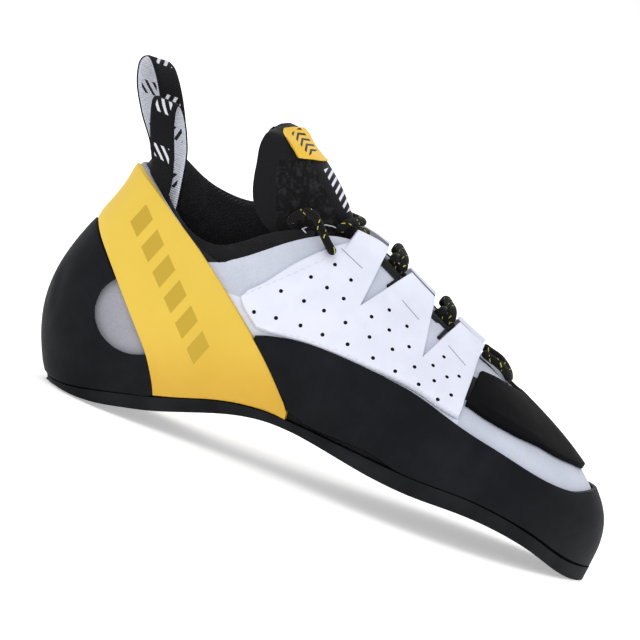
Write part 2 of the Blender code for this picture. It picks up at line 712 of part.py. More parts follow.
def make_toe_patch():
    """The black rubber patch over the toes, whose rear edges lie along the side panels."""
    first, last = ([turn_at(side, *corner)[0] for corner in (PATCH_CORNER, PATCH_TOP)] for side in (1, -1))
    turns = turns_between(first[1] + PATCH_EASE, RIB_COUNT + last[1] - PATCH_EASE)
    columns = [first, *([turn, turn] for turn in turns), [RIB_COUNT + turn for turn in last]]
    rows = []
    for low_turn, high_turn in columns:
        low = share_at_edge(low_turn, PATCH_LOW)
        high = smooth_value(PATCH_HIGH, high_turn - TOE_RIB)
        step = high_turn - low_turn
        rows.append([(low_turn + step * s, low + (high - low) * s) for s in spread(0.0, 1.0, 5)])
    return layer("toe_patch", rows, PATCH_THICKNESS, "black_rubber")


def make_eyestay(name, side, notches):
    """The white panel of one side, with a fold for the lace in each tab and a notch between each two tabs."""
    columns = []
    for low_along, low_rise, high_along, high_rise in EYESTAY:
        low = turn_at(side, low_along, low_rise)
        if high_rise:
            high = turn_at(side, high_along, high_rise)
        else:
            turn = throat_turn(side, high_along)
            high = (turn, 1 + TAB_STAND / rise_of(turn))
        fold = max(0.6, 1 - TUNNEL_LENGTH / rise_of(high[0]) / (high[1] - low[1]))
        shares = [share * fold for share in EYESTAY_ROWS] + [fold + (1 - fold) * s for s in (0.33, 0.67, 1.0)]
        columns.append([(low[0] + (high[0] - low[0]) * s, low[1] + (high[1] - low[1]) * s) for s in shares])

    def fold_bulge(i, k):
        steps = k - len(EYESTAY_ROWS)
        return TUNNEL_BULGE * TUNNEL_SWELL[steps] if steps >= 0 and not EYESTAY[i][3] else 0.0

    piece = layer(name, columns, EYESTAY_THICKNESS, "white_synthetic", fold_bulge)
    cut(piece, notches)
    return piece


def make_notch(name, corners):
    """The wedge that cuts one notch through the panels of both sides."""
    tip, behind, before = (Vector((along(corners[k]), 0, corners[k + 1] * COLLAR_HEIGHT)) for k in (0, 2, 4))
    ring = [tip, tip + (behind - tip) * 1.5, tip + (before - tip) * 1.5]
    deep = Vector((0, BALL_WIDTH * 0.7, 0))
    wedge = bpy.data.objects.new(name, tube(name, [[p - deep for p in ring], [p + deep for p in ring]]))
    bpy.context.scene.collection.objects.link(wedge)
    return wedge


def cuff_share(turn, below):
    """The share of the cuff's place at a distance below its top edge."""
    top = rib_value(turn, "top_rise") + smooth_value(CUFF_RISE, signed_turn(turn))
    return share_at_height(turn, top * COLLAR_HEIGHT - below)


def make_cuff():
    """The soft black cuff inside the collar, standing a little over its edge."""
    rings = []
    outside = -UPPER_WALL - CUFF_GAP
    for turn in turns_between(-CUFF_END, CUFF_END):
        section = [(below, 0.0) for below in (CUFF_DEPTH, *CUFF_ROWS)]
        section += [(0.0, 0.3), (0.0, 0.7)]
        section += [(below, 1.0) for below in CUFF_ROWS[::-1]]
        section += [(CUFF_DEPTH, 0.5)]
        rings.append([
            layer_point(turn, cuff_share(turn, below), outside - CUFF_THICKNESS * deep)
            for below, deep in section
        ])
    return link("collar_cuff", tube("collar_cuff", rings), "black_knit")


def tongue_row(place):
    """The tongue's measures at a place between the table's rows."""
    rows = [(k, *row) for k, row in enumerate(TONGUE)]
    return [smooth_value(rows, place, column) for column in range(1, 7)]


def tongue_point(place, sweep, inwards=0.0):
    """A point of the tongue: place counts rows of the table, sweep goes from -1 to 1 across it."""
    middle_along, middle_rise, half_width, wrap, direction, turn = tongue_row(place)
    down = math.radians(direction)
    back = Vector((-math.cos(down), 0, -math.sin(down)))
    limit = math.radians(turn)
    angle = sweep * limit
    half = half_width * BALL_WIDTH / math.sin(limit)
    deep = wrap * LENGTH / (1 - math.cos(limit))
    normal = Vector((0, math.sin(angle) * deep, 0)) - back * (math.cos(angle) * half)
    return (
        Vector((along(middle_along), tongue_middle(place), middle_rise * COLLAR_HEIGHT))
        + back * (deep * (1 - math.cos(angle)))
        + Vector((0, half * math.sin(angle), 0))
        - normal.normalized() * inwards
    )


def tongue_middle(place):
    """The across of the tongue's middle line, which starts in the middle of the throat's end."""
    start = (RIBS[TOE_RIB][3]) * BALL_WIDTH
    return start * max(0.0, 1 - place / (len(TONGUE) / 2))


def make_tongue():
    """The padded tongue, wrapped round the instep and the front of the ankle."""
    rings = []
    sweeps = spread(-1.0, 1.0, TONGUE_COLUMNS + 1)
    for place in spread(0, len(TONGUE) - 1, 2 * len(TONGUE) - 1):
        outer = [tongue_point(place, sweep) for sweep in sweeps]
        inner = [tongue_point(place, sweep * 0.985, TONGUE_THICKNESS) for sweep in sweeps]
        rings.append(outer + inner[::-1])
    return link("tongue", tube("tongue", rings), "black_mesh")


def make_tongue_tab():
    """The yellow tab on the tongue's top."""
    rings = []
    first, last = TONGUE_TAB[0][0], TONGUE_TAB[-1][0]
    for row, half in TONGUE_TAB:
        arch = TONGUE_TAB_ARCH * (last - row) / (last - first)
        places = [(row + arch * (1 - s * s), s * half) for s in spread(-1.0, 1.0, 9)]
        inner = [tongue_point(*place, -TONGUE_TAB_GAP) for place in places]
        outer = [tongue_point(*place, -TONGUE_TAB_GAP - TONGUE_TAB_THICKNESS) for place in places]
        rings.append(inner + outer[::-1])
    return link("tongue_tab", tube("tongue_tab", rings), "yellow_rubber")


def smooth_path(points, steps):
    """A smooth curve through points."""
    rows = [(k, *point) for k, point in enumerate(points)]
    path = []
    for k in range((len(points) - 1) * steps + 1):
        path.append(Vector([smooth_value(rows, k / steps, column) for column in (1, 2, 3)]))
    return path


def cord_points(rows):
    """The points of a table of along, across and rise."""
    return [Vector((along(a), b * BALL_WIDTH, c * COLLAR_HEIGHT)) for a, b, c in rows]


def cord(name, path):
    """A round cord along a path."""
    curve = bpy.data.curves.new(name, "CURVE")
    curve.dimensions = "3D"
    curve.bevel_depth = LACE_DIAMETER / 2
    curve.bevel_resolution = 2
    curve.use_fill_caps = True
    spline = curve.splines.new("POLY")
    spline.points.add(len(path) - 1)
    for point, place in zip(spline.points, path):
        point.co = (*place, 1.0)
    holder = bpy.data.objects.new(name + "_route", curve)
    bpy.context.scene.collection.objects.link(holder)
    mesh = bpy.data.meshes.new_from_object(holder.evaluated_get(bpy.context.evaluated_depsgraph_get()))
    bpy.data.objects.remove(holder)
    mesh.name = name
    mesh.materials.clear()
    build = bmesh.new()
    build.from_mesh(mesh)
    bmesh.ops.remove_doubles(build, verts=build.verts, dist=MERGE_DISTANCE)
    build.to_mesh(mesh)
    build.free()
    return mesh


def lace_exit(side, place):
    """The middle of the lace where it leaves a tab's fold."""
    return layer_point(throat_turn(side, place), LACE_SHARE, LACE_OUT)


def make_crossing(name, behind, before, low_bow, high_bow):
    """Two strands that cross over the tongue between two pairs of tabs, joined where they touch."""
    gap = LACE_GAP / LENGTH
    strands = []
    for side, bow in ((1, low_bow), (-1, high_bow)):
        first = lace_exit(side, behind + gap)
        last = lace_exit(-side, before - gap)
        path = []
        for share in spread(0.0, 1.0, 11):
            path.append(first.lerp(last, share) + Vector((0, 0, (1 - (2 * share - 1) ** 6) * bow)))
        strands.append(cord(name, path))
    piece = link(name, strands[0], "black_cord")
    other = link(name + "_strand", strands[1], "black_cord")
    other.hide_render = True
    other.display_type = "WIRE"
    bpy.data.collections["climbing_shoe"].objects.unlink(other)
    bpy.data.collections["cutters"].objects.link(other)
    boolean = piece.modifiers.new("join", "BOOLEAN")
    boolean.operation = "UNION"
    boolean.solver = "EXACT"
    boolean.object = other
    return piece


def make_pull_loop(name, rim_turn, rise, opening, lean):
    """A pull loop of webbing that stands on the upper's rim and comes down inside the cuff."""
    rim = layer_point(rim_turn, 1.0, -UPPER_WALL / 2)
    inwards = -out_direction(rim_turn)
    width = Vector((0, 0, 1)).cross(inwards)
    width *= 1 if width.x > 0 else -1
    wide = opening * LOOP_WIDTH
    high = rise * COLLAR_HEIGHT
    rim_step = top_point(rim_turn + 0.6) - top_point(rim_turn - 0.6)
    slant = rim_step.z / rim_step.dot(width)
    path = [(across * wide, share * high) for across, share in LOOP_PATH]
    depth, foot = LOOP_INSIDE
    path.append((depth, foot * high * 0.2))
    path.append((depth, foot * high))
    rows = [(k, *point) for k, point in enumerate(path)]
    flat = []
    for k in range((len(path) - 1) * 2 + 1):
        flat.append(Vector((smooth_value(rows, k / 2, 1), smooth_value(rows, k / 2, 2))))
    rings = []
    for k, point in enumerate(flat):
        step = flat[min(k + 1, len(flat) - 1)] - flat[max(k - 1, 0)]
        side = Vector((step.y, -step.x)).normalized() * LOOP_THICKNESS / 2
        back = lean * LOOP_WIDTH * smooth_value(((0.0, 0.0), (0.3, 0.15), (1.0, 1.0)), point.y / high)
        back -= LOOP_FORWARD * min(1.0, 1 - point.y / high) * (k > len(flat) / 2)
        rim_slant = slant * max(0.0, 1 - point.y / high / 0.4) * (k < len(flat) / 2)
        ring = []
        for across, face in ((-1, -1), (1, -1), (1, 1), (-1, 1)):
            flat_place = point + side * face
            beside_middle = width * (across * LOOP_WIDTH / 2)
            up = Vector((-back, 0, flat_place.y + rim_slant * across * LOOP_WIDTH / 2))
            ring.append(rim + inwards * flat_place.x + up + beside_middle)
        rings.append(ring)
    return link(name, tube(name, rings), "black_webbing")


def main():
    clear_scene()
    for name in ("climbing_shoe", "cutters"):
        bpy.context.scene.collection.children.link(bpy.data.collections.new(name))
    make_outsole()
    make_upper()
    make_insole()
    make_rand()
    make_strap()
    make_heel_rand()
    make_toe_patch()
    notches = [make_notch(name, corners) for name, corners in NOTCHES.items()]
    make_eyestay("eyestay_outer", 1, notches)
    make_eyestay("eyestay_inner", -1, notches)
    make_cuff()
    make_tongue()
    make_tongue_tab()
    for name, sizes in CROSSINGS.items():
        make_crossing(name, *sizes)
    front = [[lace_exit(side, TAB_FRONT + run) for run in (0, CORD_RUN)] for side in (1, -1)]
    bight = [*front[0], *cord_points(TOE_BIGHT), *front[1][::-1]]
    link("lace_bight", cord("lace_bight", smooth_path(bight, CORD_STEPS)), "black_cord")
    rear = smooth_path(cord_points(LACE_REAR), REAR_STEPS)
    link("lace_crossing_rear", cord("lace_crossing_rear", rear), "black_cord")
    for name, rows in (("lace_end_outer", LACE_END_OUTER), ("lace_end_inner", LACE_END_INNER)):
        link(name, cord(name, smooth_path(cord_points(rows), CORD_STEPS)), "black_cord")
    for name, sizes in PULL_LOOPS.items():
        make_pull_loop(name, *sizes)


main()
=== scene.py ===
"""Looks of the climbing shoe: rubber, microfibre, mesh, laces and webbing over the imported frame.

Metres, in the frame's own axes: +X to the toe, +Z up, and the outer side of the foot at -Y, which the
photograph shows. Pixels are those of the 640 x 640 photograph, x to the right and y down.
"""
import math

import bpy
import numpy as np
from mathutils import Matrix, Vector
from mathutils.bvhtree import BVHTree


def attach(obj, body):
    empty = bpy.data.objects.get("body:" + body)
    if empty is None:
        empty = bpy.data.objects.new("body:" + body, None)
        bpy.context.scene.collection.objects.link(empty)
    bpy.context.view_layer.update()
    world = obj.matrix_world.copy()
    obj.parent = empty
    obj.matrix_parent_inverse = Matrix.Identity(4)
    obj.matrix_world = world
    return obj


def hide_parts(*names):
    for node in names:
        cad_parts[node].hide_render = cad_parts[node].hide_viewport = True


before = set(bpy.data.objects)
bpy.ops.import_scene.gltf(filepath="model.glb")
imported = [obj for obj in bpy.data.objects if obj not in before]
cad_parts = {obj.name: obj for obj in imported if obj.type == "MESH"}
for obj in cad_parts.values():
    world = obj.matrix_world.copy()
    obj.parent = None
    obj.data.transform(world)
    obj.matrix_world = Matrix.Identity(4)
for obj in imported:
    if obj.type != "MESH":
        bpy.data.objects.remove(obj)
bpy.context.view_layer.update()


def metres(*points):
    """Places that are given in tenths of a millimetre."""
    return [tuple(round(way * 0.0001, 4) for way in point) for point in points]


# The photograph's view
PHOTO_SIDE = 640
VIEW_TARGET = Vector((0.07313, 0.0, 0.06197))
VIEW_DISTANCE = 1.7849
VIEW_RISE = math.radians(6)
VIEW_ROLL = math.radians(21)
LENS = 250.0
SENSOR = 36.0
FLOOR_SIDE = 26.0
FLOOR_GLOW = 0.4
# Soft lights: place, aim, side and power
LIGHTS = {
    "key_light": ((-0.5, -1.2, 1.5), (0.06, 0.0, 0.06), 0.9, 5.0),
    "front_light": ((0.9, -1.5, 0.5), (0.08, 0.0, 0.05), 1.0, 2.0),
    "back_light": ((0.3, 1.2, 1.1), (0.06, 0.0, 0.06), 0.9, 3.0),
}
PIXEL = VIEW_DISTANCE * SENSOR / LENS / PHOTO_SIDE

OUTER, INNER = -1, 1
SIDES = {OUTER: "outer", INNER: "inner"}

# How the solids are smoothed: reach of merging, levels of subdivision, rounding of edges, sharp angles
MERGE = 0.00001
FINENESS = 2
SHEET_EDGE = 0.0002
SOLE_EDGE = 0.0003
HARD_ANGLE = 35
PADDED_ANGLE = 80

# Colours in pairs, the darker one first
RAND_BLACKS = ((0.005, 0.0054, 0.0072, 1.0), (0.0095, 0.01, 0.0125, 1.0))
SOLE_BLACKS = ((0.006, 0.0065, 0.008, 1.0), (0.014, 0.0148, 0.017, 1.0))
# The strap's yellows: lit near its top, and darker lower down as painted shade
STRAP_LIT_YELLOWS = ((0.64, 0.44, 0.055, 1.0), (0.68, 0.475, 0.066, 1.0))
STRAP_SHADED_YELLOWS = ((0.55, 0.325, 0.034, 1.0), (0.6, 0.36, 0.042, 1.0))
STRAP_PRINT = (0.46, 0.31, 0.029, 1.0)
BADGE_YELLOWS = ((0.69, 0.42, 0.04, 1.0), (0.74, 0.47, 0.05, 1.0))
SHELL_GREYS = ((0.44, 0.47, 0.55, 1.0), (0.52, 0.545, 0.64, 1.0))
# The heel window's greys, darkened as painted shade
HEEL_SHADED_GREYS = ((0.26, 0.26, 0.3, 1.0), (0.33, 0.33, 0.38, 1.0))
HEM_WHITE = (0.64, 0.66, 0.76, 1.0)
PANEL_WHITES = ((0.62, 0.64, 0.74, 1.0), (0.66, 0.68, 0.78, 1.0))
BAND_WHITE = (0.66, 0.65, 0.76, 1.0)
PICK_YELLOW = (0.6, 0.56, 0.1, 1.0)
WEBBING_LIGHTS = ((0.56, 0.58, 0.65, 1.0), (0.74, 0.76, 0.84, 1.0))
WEBBING_BAR = (0.62, 0.62, 0.68, 1.0)
PALE_THREAD = (0.62, 0.63, 0.68, 1.0)
WHITE_THREAD = (0.7, 0.71, 0.78, 1.0)
SEAM_GREY = (0.22, 0.22, 0.25, 1.0)

# Rows of marks in pixels: one repeat, the share of it that is marked, slope, half width, start and end
STRAP_LINE = ((137, 212), (206, 366))
STRAP_BARS = {"gap": 28.0, "share": 0.62, "slope": 0.45, "half": 11.0, "ends": (-4.0, 163.0)}
# Pixel rows over which the strap darkens into painted shade
STRAP_SHADE_ROWS = (300.0, 410.0)
BADGE_LINE = ((293, 127), (315, 155))
BADGE_CHEVRONS = {"gap": 7.0, "share": 0.42, "slope": -0.9, "half": 5.5, "ends": (4.0, 33.0)}
BAND_LINE = ((326, 167), (351, 215))
BAND_DASHES = {"gap": 8.0, "share": 0.4, "slope": 0.7, "half": 4.0, "ends": (2.0, 50.0), "middle": 0.5}

# Depths at which pixels are laid on the finishes
STRAP_DEPTH = 0.034
SHELL_DEPTH = 0.035
TONGUE_DEPTH = 0.014
BAND_DEPTH = 0.006

# Colour fields of the upper: straight edges, with factors for x and y and the least that they add up to
# Pixel columns over which the heel's painted shade gives way to the lit grey
HEEL_SHADE_END = (150.0, 170.0)
HEM_FIELD = ((-0.346, 1, 214.1), (-0.557, 1, 143.4), (-1, -0.25, -563.0), (1, 0, 215.0))
TOE_FIELD = ((1, 0, 464.5), (1, 0.53, 671.0), (-0.4, 1, 187.0), (0.77, -1, -41.5), (-1, 0, -492.0))
ARCH_FIELD = ((-0.47, 1, 276.0), (1, 0, 270.0))
BAND_FIELD = ((1, 0, 180.0), (0, -1, -262.0), (-0.352, -1, -341.0))

# Laces: their routes are those of the solids
LACE = 0.0034
LACE_STEP = 0.0005
LACE_SIDES = 14
CROSSING_STEPS = 10
# Radii as shares of the lace's width where it is hidden or lies under a crossing
HIDDEN_LACE = 0.49
RUN_LACE = 0.45
# The square of the radius's share at a tube's very end
LEAST_END = 0.04
YARN_RUN = 0.0027
FLECK_RUN = 0.0052
LACE_TAILS = {
    "outer": metres(
        (679, -272, 921), (663, -271, 934), (646, -268, 948), (632, -266, 962), (617, -262, 976),
        (600, -258, 993), (584, -250, 1007), (569, -241, 1020), (553, -229, 1027), (535, -214, 1026),
        (517, -199, 1016), (502, -190, 1003), (490, -183, 987), (482, -178, 970), (475, -172, 952),
    ),
    "inner": metres(
        (726, 191, 1008), (711, 193, 1007), (696, 197, 1008), (681, 211, 1016), (663, 225, 1029),
        (636, 222, 1051), (605, 214, 1070), (572, 208, 1083), (541, 202, 1087), (517, 198, 1080),
        (498, 195, 1066), (485, 193, 1047), (481, 192, 1041), (478, 191, 1033), (476, 190, 1025),
    ),
}
# Where the tails come from, hidden under the panels' edges
LACE_ROOTS = {"outer": (0.0658, -0.0196, 0.0926), "inner": (0.0716, 0.014, 0.099)}
# Runs of lace along the throat's near edge, under the crossings: pixels, each with its depth
LACE_RUNS = (
    (((387, 261), -0.01), ((395, 265), -0.009), ((401, 273), -0.009), ((406, 282), -0.0125)),
    (((435, 310), -0.009), ((443, 316), -0.008), ((450, 324), -0.009), ((455, 332), -0.0115)),
)
# Each crossing has two strands: where they leave the tabs, and how high they are bowed between
CROSSINGS = {
    "top": (
        ((0.0915, -0.0137, 0.0967), (0.0967, 0.0169, 0.0933), 0.0014),
        ((0.0912, 0.017, 0.0964), (0.097, -0.0134, 0.0935), 0.0042),
    ),
    "low": (
        ((0.1169, -0.0113, 0.0835), (0.1222, 0.0155, 0.0812), 0.0012),
        ((0.1168, 0.0159, 0.0836), (0.1223, -0.0107, 0.081), 0.004),
    ),
}
LACE_TURN = metres(
    (1383, -84, 743), (1412, -77, 734), (1466, -75, 722), (1508, -31, 708), (1525, 31, 703),
    (1513, 92, 708), (1469, 136, 725), (1412, 138, 737), (1383, 142, 747),
)
# The toe's turn is pushed a little down in the view: pixel, depth, spread and shift
TURN_PUSH = ((510, 370), 0.003, 22, (-3, 7))
LACE_REAR = metres(
    (730, -112, 992), (747, -102, 1009), (761, -69, 1015), (774, -35, 1014), (779, 0, 1014),
    (772, 40, 1011), (752, 86, 1006), (729, 128, 1004), (699, 145, 1020), (686, 122, 1042),
    (712, 76, 1048), (741, 36, 1049), (750, 0, 1049), (740, -40, 1050), (719, -82, 1046),
    (697, -118, 1032), (680, -133, 1010), (670, -134, 988),
)

# Pull loops: the webbing's edge direction, and its middle line from the rim down to the inside of the cuff
LOOP_WIDTH = 0.012
LOOP_THICKNESS = 0.0011
LOOP_RIB = 0.0009
LOOP_STEP = 0.0008
LOOP_COLUMNS = 5
# The share of the rise over which the foot is tilted, and the bars' repeat and start along the webbing
LOOP_FOOT = 0.4
BAR_GAP = 0.0185
BAR_START = 0.0075
LOOPS = {
    "outer": (
        (0.895, -0.446), -0.66,
        metres(
            (-58, -153, 903), (-67, -157, 967), (-97, -164, 1050), (-129, -164, 1133),
            (-149, -152, 1199), (-150, -129, 1229), (-137, -104, 1226), (-108, -86, 1187),
            (-74, -79, 1120), (-45, -82, 1038), (-16, -88, 874), (-8, -85, 787),
        ),
    ),
    "inner": (
        (0.824, 0.567), -0.14,
        metres(
            (-84, 133, 962), (-122, 144, 1036), (-192, 158, 1132), (-250, 164, 1232), (-272, 150, 1316),
            (-256, 112, 1356), (-226, 70, 1350), (-182, 34, 1300), (-136, 18, 1226), (-90, 20, 1127),
            (-28, 60, 929), (-14, 66, 830),
        ),
    ),
}

# Gaps that close as one piece is drawn against another: up to where they close, and how far it is felt
CLOSE = 0.00015
ON_SHELL = (0.0008, 0.0022)
ON_SOLE = (0.0016, 0.006)
BESIDE = (0.0013, 0.005)
IN_MOUTH = (0.001, 0.003)
ON_TONGUE = (0.0012, 0.0022)

# The throat's edge on each side, from the collar forwards, and the black tape's rows down from it
THROAT = {
    OUTER: metres(
        (834, -132, 973), (919, -125, 933), (1005, -120, 887), (1091, -113, 843),
        (1176, -105, 802), (1260, -96, 765), (1334, -90, 732),
    ),
    INNER: metres(
        (834, 155, 975), (919, 152, 935), (1005, 150, 890), (1091, 147, 846),
        (1176, 145, 805), (1260, 142, 768), (1334, 140, 735),
    ),
}
TAPE_ROWS = (-0.0034, -0.002, -0.0008, 0.0004, 0.0015, 0.0026, 0.0036)
TAPE_LIFT = 0.0005
TAPE_STEP = 0.0015
TAPE_SLOPE = (0.55, 0.84)
TAPE = 0.0004

# The tongue's rounder top and fuller foot: pixel, depth, spread and shift
TONGUE_PUSHES = (
    ((281, 130), 0.0, 15, (0, -7)), ((309, 131), 0.0, 9, (-3, 2)), ((261, 224), 0.0, 20, (-9, 3)),
)
BADGE_PUSHES = (((293, 130), -0.008, 15, (-1, -6)), ((306, 128), -0.004, 8, (-5, 3)))

# Pushes along a line of pixels: how far apart, how far each spreads and what they add up to
PUSH_GAP = 10.0
PUSH_SPREAD = 15.0
PUSH_SUM = 2.66
# Where the outer panel reaches the rand and the strap, and where the toe's rubber is cut back
PANEL_SLIDES = (
    ((252, 320), (318, 336), (-1, 8)), ((318, 336), (440, 404), (-2, 8)),
    ((440, 404), (455, 413), (2, 9)), ((238, 300), (246, 314), (-10, 2)),
)
PATCH_SLIDES = (
    ((470, 408), (490, 425), (-2, -12)), ((490, 425), (545, 451), (1, -14)),
    ((545, 451), (575, 464), (0, -7)), ((478, 376), (471, 400), (-5, 0)),
)

# Step along a crease, and the least move that a slide follows
PRESS_STEP = 0.001
LEAST_SLIDE = 0.00005

# Creases and folds: lines of pixels, how wide each spreads and how deep it is, with ridges below 0
HEEL_CREASES = (
    (((67, 262), (58, 288), (53, 312)), 0.0022, 0.00035),
    (((61, 262), (53, 288), (48, 310)), 0.002, -0.00025),
    (((60, 352), (86, 370), (120, 378)), 0.003, 0.00025),
)
TONGUE_CREASES = (
    (((276, 158), (277, 185), (279, 214)), 0.0016, 0.0009),
    (((271, 162), (270, 190), (272, 212)), 0.0026, -0.0007),
    (((277, 160), (288, 161), (298, 160)), 0.0008, 0.0006),
    (((310, 168), (318, 190), (326, 208)), 0.0018, 0.0006),
    (((290, 175), (296, 190), (292, 206)), 0.0022, 0.0005),
)
CUFF_CREASES = (
    (((206, 190), (214, 206), (224, 220)), 0.0024, 0.0006),
    (((226, 200), (232, 212), (240, 222)), 0.0022, 0.0005),
    (((200, 244), (225, 249), (250, 243)), 0.0012, 0.0003),
)
UPPER_CREASES = (
    (((230, 268), (262, 262), (296, 248)), 0.003, 0.0003),
    (((480, 415), (510, 432), (545, 452)), 0.0026, 0.00025),
)

# Stitches and piping
STITCH = 0.0021
STITCH_GAP = 0.0009
THREAD = 0.0004
SEAM = 0.00016
PIPING = 0.00028
PIPING_STEP = 0.0012
PIPING_SIDES = 8
PIPING_LIFT = 0.0007
BACKING = 0.0008
BACKING_LIFT = 0.0002
CUFF_SLANT = 0.9
CUFF_STEP = 0.0019
PIPING_LINES = (
    ((301.5, 229.5), (304.5, 232.5), (307.5, 236)), ((301.5, 229.5), (305, 227.5), (309.7, 226.6)),
    ((323.3, 224.6), (332, 226.5), (339, 230), (344, 233.8)),
)
NOTCH_BACKINGS = (((404, 275), (395, 281.5), (385, 288.5)), ((452, 324.5), (444, 332.5), (437, 339.5)))
CUFF_STITCHES = (((188, 156), (204, 178), (220, 192), (238, 202), (248, 206)),)

# Holes in the side panels
HOLE = 0.00165
HOLE_DEPTH = 0.0009
HOLES = (
    (254, 312), (276, 318), (281, 291), (300.5, 325.5), (304, 301), (311, 277), (322.5, 334.7),
    (324, 310.6), (327, 287.6), (335, 264.6), (343.7, 298.6), (345.5, 322.6), (347.6, 344.3),
    (351, 280), (369.5, 337), (371.6, 316.7), (373, 358), (389.3, 310), (389.3, 330), (392.5, 349.3),
    (395.2, 371.2), (407, 326.2), (409.1, 346.7), (414.6, 366.9), (418.7, 384.3), (433.1, 365.4),
    (434.2, 380.7), (437.8, 399.4), (444, 356.8), (447, 376.9), (451.2, 395), (459.1, 376.3),
)
PANEL_SEAMS = (((341, 248), (364, 270)), ((402, 300), (421, 322)), ((448, 345), (466, 366)))
PANEL_STITCHES = (
    ((256, 328.5), (300, 337.5), (340, 351.5), (378, 369.5), (416, 390), (450, 417)),
    ((236, 298), (288, 276), (338, 253)),
)


class Value:
    """A socket of a finish, on which plain arithmetic adds Math nodes."""

    def __init__(self, finish, socket):
        self.finish = finish
        self.socket = socket

    def maths(self, operation, first, second=0.0):
        return self.finish.node("Math", {"operation": operation}, {0: first, 1: second})

    def __add__(self, other):
        return self.maths("ADD", self, other)

    def __sub__(self, other):
        return self.maths("SUBTRACT", self, other)

    def __rsub__(self, other):
        return self.maths("SUBTRACT", other, self)

    def __mul__(self, other):
        return self.maths("MULTIPLY", self, other)

    def __gt__(self, other):
        return self.maths("GREATER_THAN", self, other)

    def __lt__(self, other):
        return self.maths("LESS_THAN", self, other)

    def __abs__(self):
        return self.maths("ABSOLUTE", self)

    def part(self):
        """What is left over a whole number."""
        return self.maths("FRACT", self)

    def wave(self):
        """A wave from 0 to 1 that repeats at each whole number."""
        return self.maths("SINE", self * math.tau) * 0.5 + 0.5

    def over(self, other):
        return self.maths("MAXIMUM", self, other)

    __radd__ = __add__


class Finish:
    """A material and the few node patterns that the finishes share."""

    def __init__(self, name, roughness, sheen=0.0, specular=0.5):
        self.material = bpy.data.materials.new(name)
        self.material.use_nodes = True
        self.tree = self.material.node_tree
        self.shader = self.tree.nodes["Principled BSDF"]
        self.feed("Roughness", roughness)
        self.feed("Sheen Weight", sheen)
        self.feed("Specular IOR Level", specular)
        self.place = self.node("TexCoord", output="Object")

    def node(self, kind, settings=None, inputs=None, output=0):
        """Adds a node, gives it its settings and then its inputs, and returns one of its outputs."""
        made = self.tree.nodes.new("ShaderNode" + kind)
        for name, setting in (settings or {}).items():
            setattr(made, name, setting)
        for name, value in (inputs or {}).items():
            if isinstance(value, Value):
                self.tree.links.new(value.socket, made.inputs[name])
            else:
                made.inputs[name].default_value = value
        return Value(self, made.outputs[output])

    def noise(self, scale, detail=3.0, roughness=0.5, place=None):
        settings = {"Scale": scale, "Detail": detail, "Roughness": roughness, "Vector": place or self.place}
        return self.node("TexNoise", {}, settings)

    def cells(self, scale):
        return self.node("TexVoronoi", {}, {"Scale": scale, "Vector": self.place}, "Distance")

    def stretched(self, scale):
        """The place, scaled unevenly, for patterns that run one way."""
        return self.node("Mapping", {}, {"Vector": self.place, "Scale": scale})

    def marked(self, name):
        """A value marked on the mesh."""
        return self.node("Attribute", {"attribute_name": name}, output="Fac")

    def ahead(self):
        """How far each place is along Y, from the outer side to the inner one."""
        return self.node("SeparateXYZ", {}, {0: self.place}, 1)

    def pixels(self, depth):
        """The photograph's pixel over each place, for a surface at a depth before the view's middle."""
        scale = PHOTO_SIDE / (VIEW_DISTANCE - depth) * LENS / SENSOR
        right, up, _ = camera_axes()
        away = self.node("VectorMath", {"operation": "SUBTRACT"}, {0: self.place, 1: VIEW_TARGET})
        across = self.node("VectorMath", {"operation": "DOT_PRODUCT"}, {0: away, 1: right}, "Value")
        rise = self.node("VectorMath", {"operation": "DOT_PRODUCT"}, {0: away, 1: up}, "Value")
        return across * scale + PHOTO_SIDE / 2, PHOTO_SIDE / 2 - rise * scale

    def line(self, depth, start, end):
        """How far along and beside a line each place is, in pixels."""
        across, down = self.pixels(depth)
        length = math.dist(start, end)
        x, y = (end[0] - start[0]) / length, (end[1] - start[1]) / length
        across, down = across - start[0], down - start[1]
        return across * x + down * y, across * y - down * x

    def row(self, along, aside, gap, share, slope, half, ends, middle=0.0, bent=False):
        """1 on a row of marks along a line and 0 elsewhere. Bent marks turn back at the line."""
        lean = abs(aside) if bent else aside
        marks = ((along + lean * slope) * (1 / gap)).part() < share
        return marks * (abs(aside - middle) < half) * (along > ends[0]) * (along < ends[1])

    def field(self, depth, edges):
        """1 within straight edges and 0 elsewhere."""
        across, down = self.pixels(depth)
        inside = 1.0
        for x, y, least in edges:
            inside = (across * x + down * y > least) * inside
        return inside

    def steps(self, value, low, high):
        """0 below one value and 1 above another, with a smooth change between."""
        settings = {"interpolation_type": "SMOOTHSTEP"}
        return self.node("MapRange", settings, {"Value": value, "From Min": low, "From Max": high})

    def between(self, factor, first, second):
        """A colour between two others."""
        inputs = {0: factor, 6: first, 7: second}
        return self.node("Mix", {"data_type": "RGBA"}, inputs, 2)

    def colour(self, colour):
        self.feed("Base Color", colour)

    def feed(self, name, value):
        """Links or sets an input of the shader."""
        if isinstance(value, Value):
            self.tree.links.new(value.socket, self.shader.inputs[name])
        else:
            self.shader.inputs[name].default_value = value

    def relief(self, height, depth):
        """A bump of a depth in metres."""
        self.feed("Normal", self.node("Bump", {}, {"Height": height, "Distance": depth, "Strength": 1.0}))


def grey(level, blue=1.0):
    """An opaque colour near grey."""
    return (level, level, level * blue, 1.0)


def rubber(name, dark, light, roughness=0.5, specular=0.07):
    """Moulded rubber: a fine ground grain, with a little dust in broad patches."""
    finish = Finish(name, roughness, specular=specular)
    dust = finish.noise(45.0, 4.0, 0.6)
    finish.colour(finish.between(finish.steps(dust, 0.35, 0.75), dark, light))
    finish.feed("Roughness", roughness + finish.noise(160.0, 3.0) * 0.16)
    finish.relief(finish.noise(2400.0, 2.0) + finish.noise(420.0, 2.0) * 0.8, 0.00005)
    return finish.material


